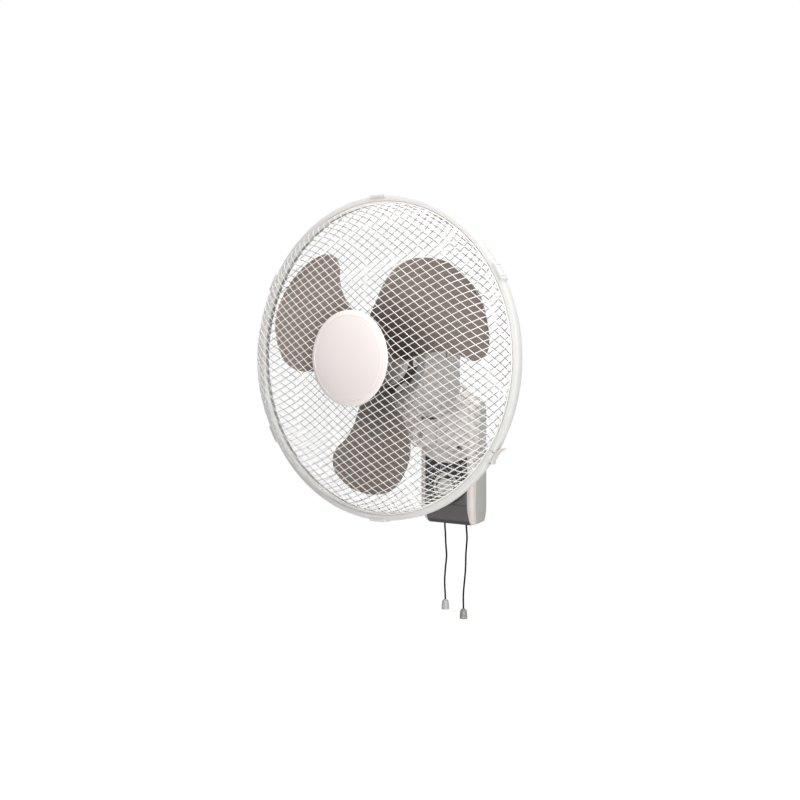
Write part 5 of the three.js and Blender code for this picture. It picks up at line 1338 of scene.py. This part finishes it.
# %% [markdown]
# ## Rear shell and front cover
#
# Each half has screw posts inside, which meet at the screws. Solid posts are joined to the
# hollow shell first, and the pilot holes are drilled after that, so that a hole never closes
# again. The window is cut last.
# %% Rear shell
bottom_holes = [moved(rod("Z", radius, -97, -72), x, CORD_Y, 0)
                for x, radius in ((-CORD_X, 2.8), (CORD_X, 2.8), (0, 4.2))]
rear_posts = [moved(rod("Y", POST_RADIUS, -POST_TOP, -5.3), x, 0, z) for x, z in cover_posts]
pilots = [moved(rod("Y", 1.8, -POST_TOP - 5, -POST_TOP + 16), x, 0, z) for x, z in cover_posts]
rear = cut(outer_body, cavity, front_region(0), *bottom_holes)
piece("rear_base_shell", cut(join(rear, *rear_posts), *pilots), "base", "rear_shell")

# %% Front cover
THROUGH_FRONT = (-48, -5)  # from before the front to behind it
BELOW_BASE = -98
front_posts = [moved(rod("Y", POST_RADIUS, -BASE_FRONT + 1, -POST_TOP - SEAM), x, 0, z)
               for x, z in cover_posts]
screw_way = [rod("Y", 2, -45, -POST_TOP + 2), rod("Y", 3.2, -73, -40)]
screw_holes = [moved(hole, x, 0, z) for x, z in cover_posts for hole in screw_way]
window_cut = prism("Y", window(0, BELOW_BASE, 0), *THROUGH_FRONT)
cover = cut(join(outer_body, shoulder(0, 0)), join(cavity, shoulder(BASE_WALL, 10)))
cover = cut(common(cover, front_region(SEAM)), window_cut)
cover = cut(join(cover, *front_posts), *screw_holes)
piece("front_base_cover", cover, "base", "front_cover")

# %% [markdown]
# ## Black panel and lower cover
#
# The panel is a thin sheet that follows the base's front just below its surface, and the dark
# lower cover carries on from it. A flat plate would stand out at the curved bottom. Both are
# skins of the base's own body instead, trimmed by the window's outline.
# %% Panel and lower cover
DIAL_Z = -37


def front_skin(recess):
    """A sheet of the wall's thickness that follows the base's front."""
    return cut(base_body(recess), bottom_wedge(recess), base_body(recess + BASE_WALL),
               block((-60, -27, -120), (60, 1, 120)))


spindle_hole = moved(rod("Y", 3.4, *THROUGH_FRONT), z=DIAL_Z)
panel_outline = window(SEAM, PANEL_BOTTOM, PANEL_RISE)
panel = cut(common(front_skin(1), prism("Y", panel_outline, *THROUGH_FRONT)), spindle_hole)
piece("black_panel", panel, "base", "control_panel")

lower_half = WINDOW_HALF - SEAM
lower_edge = bowed(lower_half, PANEL_BOTTOM - SEAM + PANEL_RISE, PANEL_RISE)[::-1]
lower_outline = [(-lower_half, BELOW_BASE), (lower_half, BELOW_BASE), *lower_edge]
lower = common(cut(outer_body, base_body(BASE_WALL)), prism("Y", lower_outline, *THROUGH_FRONT),
               front_region(SEAM))
piece("lower_base_cover", lower, "base", "lower_cover")

# %% [markdown]
# ## Dial and its ring
#
# One knob shows the speed. It has fine flutes round it and a pointer pressed into its face,
# and a light ring frames it on the panel. The flutes could be a bump, but they break the
# outline of the real knob, so small rods cut them out of a turned cap.
# %% Knob and ring
PANEL_FACE = -42
BEZEL_PROFILE = [(17.4, -0.3), (17.4, -1.4), (17.7, -1.9), (18.3, -2.2), (20.2, -2.05),
                 (20.8, -1.6), (21, -0.9), (21, -0.3)]
bezel = turned("Y", [(radius, PANEL_FACE + depth) for radius, depth in BEZEL_PROFILE])
piece("dial_ring", moved(bezel, z=DIAL_Z), "base", "dial_bezel")

KNOB_FACE, KNOB_BACK, FLUTES = -48.8, -42.4, 36
knob = turned("Y", [(0, KNOB_FACE), (9.6, KNOB_FACE), (10.6, -48.55), (11.3, -48), (11.7, -47.2),
                    (12.3, KNOB_BACK), (0, KNOB_BACK)])
flute = moved(rod("Y", 0.5, -60, -44, 10), 12.35)
pointer = prism("Y", rounded_box((-0.8, 4), (0.8, 9.7), 0.7), -50, -48.2)
socket = rod("Y", 3.3, -46.9, -37)
dial = moved(cut(knob, *around(flute, FLUTES), pointer, socket), z=DIAL_Z)
piece("dial_knob", dial, "dial", "dial", sharp=45)

# %% [markdown]
# ## Marks round the dial
#
# The panel has plain numbers and ticks, printed in a light ink. A picture of them would need
# unwrapping. Text objects give clean outlines, and a fifth of a millimetre of thickness lets
# them stand on the panel, as thick ink does.
# %% Numbers and ticks


def number_mesh(text, size, x, z):
    """A plain number as a thin raised shape on the panel."""
    letters = bpy.data.curves.new("number", "FONT")
    letters.body = text
    letters.size = size
    letters.extrude = 0.1
    letters.align_x = "CENTER"
    letters.align_y = "CENTER"
    carrier = placed("number", letters)
    mesh = bpy.data.meshes.new_from_object(
        carrier.evaluated_get(bpy.context.evaluated_depsgraph_get()))
    bpy.data.objects.remove(carrier)
    upright = Matrix.Rotation(math.pi / 2, 4, "X")
    mesh.transform(Matrix.Translation((x, PANEL_FACE - 0.15, z)) @ upright)
    return mesh


NUMBER_REACH, NUMBER_SIZE = 27.4, 7
FIRST_MARK, MARK_STEP = 150, 40  # degrees
tick = block((21.8, PANEL_FACE - 0.25, -0.35), (23.4, PANEL_FACE + 0.1, 0.35))
marks = []
for k, text in enumerate("0123"):
    a = math.radians(FIRST_MARK - MARK_STEP * k)
    marks.append(number_mesh(text, NUMBER_SIZE, NUMBER_REACH * math.cos(a),
                             DIAL_Z + NUMBER_REACH * math.sin(a)))
    marks.append(moved(spun(tick, -math.degrees(a)), z=DIAL_Z))
piece("panel_marks", closed(solid_parts(*marks)), "base", slot_name="trim_light", sharp=30)

# %% [markdown]
# ## Arm
#
# The arm is part of the base. Its two ears hold the neck's tongue on one bolt, so that the
# head tilts, and the wires run through a window in its root. Its side view holds all its
# curves, so that outline is pushed through, and the slot, window and bolt holes are cut.
# %% Arm
ARM_HALF, EAR_RADIUS, EAR_WALL = 20, 18, 7
ARM_LOW, ARM_HIGH, ARM_BACK = 28, 66, -6.8
PIVOT_Y, PIVOT_Z = BOLT.y, BOLT.z
side_outline = [(ARM_BACK, ARM_LOW - 4), (ARM_BACK, ARM_HIGH + 4), (ARM_BACK - 5, ARM_HIGH + 4),
                (ARM_BACK - 9, ARM_HIGH), (PIVOT_Y + 6, PIVOT_Z + EAR_RADIUS)]
side_outline += arc(PIVOT_Y, PIVOT_Z, EAR_RADIUS, 90, 270, 24)
side_outline += [(PIVOT_Y + 12, ARM_LOW), (ARM_BACK - 9, ARM_LOW), (ARM_BACK - 5, ARM_LOW - 4)]
arm = eased(prism("X", side_outline, -ARM_HALF, ARM_HALF), 1.2, 4, 50)
tongue_slot = block((-ARM_HALF + EAR_WALL, PIVOT_Y - 23, 0),
                    (ARM_HALF - EAR_WALL, PIVOT_Y + 24, 100))
wire_way = prism("Y", rounded_box((-9, ARM_LOW + 7), (9, ARM_HIGH - 7), 4), PIVOT_Y, ARM_BACK + 5)
sinks = [rod("X", 4.3, -60, 60), rod("X", 6.8, ARM_HALF - 3, 60),
         rod("X", 6.8, -60, -ARM_HALF + 3)]
bolt_way = [moved(sink, 0, PIVOT_Y, PIVOT_Z) for sink in sinks]
piece("tilt_arm", cut(arm, tongue_slot, wire_way, *bolt_way), "base", "tilt_bracket")

# %% [markdown]
# ## Tilt bolt and nut
#
# A socket head bolt and a hex nut sit sunk in the ears. A rod with six sides is a hexagon, so
# the same tool makes the nut and the key's hole. Threads stay out: they are hidden.
# %% Tilt bolt and nut
HEAD_FACE = ARM_HALF - 2.7
hex_hole = rod("X", 2.6, HEAD_FACE + 1.2, 60, 6)
bolt_head = eased(rod("X", 6.5, HEAD_FACE, ARM_HALF - 0.4), 0.4)
bolt = cut(join(rod("X", 4, -ARM_HALF + 0.6, HEAD_FACE + 0.5), bolt_head), hex_hole)
piece("tilt_bolt_socket_head", bolt, "base", "tilt_bolt", at=BOLT)
nut = cut(rod("X", 6.1, -ARM_HALF + 0.4, -HEAD_FACE, 6), rod("X", 4.3, -60, 60))
piece("tilt_hex_nut", eased(nut, 0.25), "base", "tilt_nut", at=BOLT)

# %% [markdown]
# ## Neck
#
# The neck is a tongue with a round bearing table on top, which carries the housing and lets
# it swing. The tongue is pushed through from its side view and eased, and the table is turned
# before the two are joined, because an eased turning would lose its bearing face.
# %% Neck
TABLE_TOP, LEVER_LOW, LEVER_TOP = 34.6, 40.5, 43.3
tongue_outline = arc(0, 0, 13, 180, 360, 24) + [(13, 29.6), (-13, 29.6)]
tongue = prism("X", tongue_outline, -12.7, 12.7)
table = turned("Z", [(0, 23.6), (12, 23.6), (14, 24.2), (18.6, 28.2), (19.6, 29.2), (20, 30.4),
                     (20, 33.9), (19.3, TABLE_TOP), (6.5, TABLE_TOP), (6.5, LEVER_LOW - 0.3),
                     (4.5, LEVER_LOW - 0.3), (4.5, LEVER_TOP - 0.2), (0, LEVER_TOP - 0.2)])
bore = rod("X", 4.4, -14, 14)
screw_bore = rod("Z", 1.8, LEVER_TOP - 14, LEVER_TOP + 5, 24)
piece("neck_tongue_and_table", cut(join(eased(tongue, 0.8), table), bore, screw_bore),
      "neck", "neck", at=BOLT)

# %% [markdown]
# ## Wall plate
#
# The plate is screwed to the wall through a lug above the base and two slots low down. Its
# outline swings up to the lug in two soft curves. Only its right half is written down, and
# the left half is its mirror image, so that the plate can't come out crooked.
# %% Wall plate
PLATE_LOW, PLATE_HIGH, LUG_Z = -82, 84, 104
half_plate = [(36, PLATE_LOW), *arc(36, PLATE_LOW + 6, 6, -90, 0, 6), (42, PLATE_HIGH - 4)]
half_plate += through([(41.4, 85), (36, 91), (24, 96)], 5)
half_plate += through([(23, 96.2), (16.5, 97.6), (12.6, 100), (9.4, 103)], 4)
half_plate += arc(0, LUG_Z, 9, 0, 80, 10)
plate_outline = half_plate + [(-x, z) for x, z in reversed(half_plate)]
wall_plate = eased(prism("Y", plate_outline, -4, 0), 0.6, 2, 60)
lug_hole = moved(rod("Y", 2.6, -10, 5), 0, 0, LUG_Z)
sink = moved(turned("Y", [(0, -5), (5.6, -5), (2.6, -2), (0, -2)], 48), 0, 0, LUG_Z)
low_slots = [prism("Y", slot((x, PLATE_LOW + 24), (x, PLATE_LOW + 32), 2.6), -10, 5)
             for x in (-24, 24)]
piece("hanging_plate", cut(wall_plate, lug_hole, sink, *low_slots), "base", "wall_plate",
      finish=FINISH["white_plastic"])

# %% [markdown]
# ## Cover screws
#
# Two cross-headed screws hold the cover. They are small but catch the light, so each has an
# eased head and a real cross cut into it, while its thread inside the post stays plain.
# %% Cover screws
for name, (x, z) in zip(("left", "right"), cover_posts):
    screw = join(eased(rod("Y", 2.8, -42.3, -40.3, 32), 0.3),
                 rod("Y", 1.5, -41, -POST_TOP + 12, 24))
    cross = [block((-1.7, -43, -0.35), (1.7, -41.5, 0.35)),
             block((-0.35, -43, -1.7), (0.35, -41.5, 1.7))]
    piece("cover_screw_" + name + "_cross_head", cut(screw, *cross), "base", "cover_screw_" + name,
          at=(x, 0, z))

# %% [markdown]
# ## Bushes and the gland
#
# A bush guides each pull cord through the sloping bottom, and a rubber gland closes the hole
# for the mains lead. All are a flange with a sleeve, so one turned profile takes its sizes
# from each CAD node.
# %% Bushes and gland


def flanged_bush(node_name, bore_radius, body_radius):
    """A flange under the bottom and a sleeve through it, sized by its CAD node."""
    low, high = box_mm(node_name)
    flange = (high.y - low.y) / 2
    top = low.z + 1.5
    profile = [(bore_radius, low.z + 0.3), (bore_radius + 0.3, low.z), (flange - 0.5, low.z),
               (flange, low.z + 0.5), (flange, top), (body_radius, top), (body_radius, high.z),
               (bore_radius, high.z)]
    middle = (low + high) / 2
    return moved(turned("Z", profile, 48), middle.x, middle.y, 0)


for name in ("swing_bush", "speed_bush"):
    piece(name + "_flanged", flanged_bush(name, 1.6, 2.5), "base", name)
piece("rubber_gland", flanged_bush("mains_gland", 2.6, 3.9), "base", "mains_gland")

# %% [markdown]
# ## Studio
#
# A plain pale floor and four soft boxes: the main one to the right of the camera, a little
# higher than the fan, a strong one overhead, and weak ones beside and behind it. A bright
# backdrop could whiten the picture, but it would also light the fan. So the world is white
# only to the camera, straight on or in a reflection, and dim to all else. The floor glows for
# the camera alone, and still takes the fan's shadow.
# %% Floor
FLOOR_Z = -0.9
FLOOR_SIZE = 24
FLOOR_GLOW = 0.83  # only the camera sees it


def studio_floor():
    bpy.ops.mesh.primitive_plane_add(size=FLOOR_SIZE, location=(0, 0, FLOOR_Z))
    floor = bpy.context.object
    floor.name = "studio_floor"
    material, tree, shader = blank_finish("pale_floor")
    speckle = node(tree, "ShaderNodeTexNoise", {"Scale": 40.0, "Detail": 3.0})
    tone = node(tree, "ShaderNodeMapRange",
                {"Value": speckle.outputs["Fac"], "To Min": 0.86, "To Max": 0.9})
    rays = node(tree, "ShaderNodeLightPath")
    glow = node(tree, "ShaderNodeMath", {0: rays.outputs["Is Camera Ray"], 1: FLOOR_GLOW},
                operation="MULTIPLY")
    fill(tree, shader, {"Base Color": tone.outputs["Result"], "Roughness": 0.9,
                        "Emission Color": (1, 1, 1, 1), "Emission Strength": glow.outputs[0]})
    floor.data.materials.append(material)


studio_floor()
print("floor", -FLOOR_Z, "m below the fan's mount")

# %% World
WORLD_STRENGTH = 0.12


def studio_world():
    world = bpy.data.worlds.new("studio")
    world.use_nodes = True
    bpy.context.scene.world = world
    tree = world.node_tree
    soft = tree.nodes["Background"]
    fill(tree, soft, {"Color": (1, 1, 1, 1), "Strength": WORLD_STRENGTH})
    seen = node(tree, "ShaderNodeBackground", {"Color": (1, 1, 1, 1), "Strength": 1.0})
    rays = node(tree, "ShaderNodeLightPath")
    camera_or_gloss = node(tree, "ShaderNodeMath",
                           {0: rays.outputs["Is Camera Ray"], 1: rays.outputs["Is Glossy Ray"]},
                           operation="MAXIMUM")
    any_seen = node(tree, "ShaderNodeMath",
                    {0: camera_or_gloss.outputs[0], 1: rays.outputs["Is Transmission Ray"]},
                    operation="MAXIMUM")
    mix = node(tree, "ShaderNodeMixShader",
               {0: any_seen.outputs[0], 1: soft.outputs[0], 2: seen.outputs[0]})
    tree.links.new(mix.outputs[0], tree.nodes["World Output"].inputs["Surface"])


studio_world()
print("the world lights the fan at", WORLD_STRENGTH)

# %% Lamps
LAMP_SIZE = 1.2
# Place in metres and power in watts.
LAMPS = {
    "key_soft_box": ((1.98, -1.87, 0.38), 48),
    "top_soft_box": ((0.23, -0.83, 2.66), 60),
    "side_soft_box": ((2.35, 0, 1.25), 6),
    "back_soft_box": ((-1.0, 2.1, 1.0), 14),
}


def soft_lamp(name, place, power):
    """A square soft box aimed at the fan."""
    data = bpy.data.lights.new(name, "AREA")
    data.shape = "SQUARE"
    data.size = LAMP_SIZE
    data.energy = power
    lamp = placed(name, data)
    lamp.location = place
    lamp.rotation_euler = (FAN * MM - Vector(place)).to_track_quat("-Z", "Y").to_euler()


for name, (place, power) in LAMPS.items():
    soft_lamp(name, place, power)
bpy.context.scene.view_settings.view_transform = "Standard"
print(len(LAMPS), "lamps")
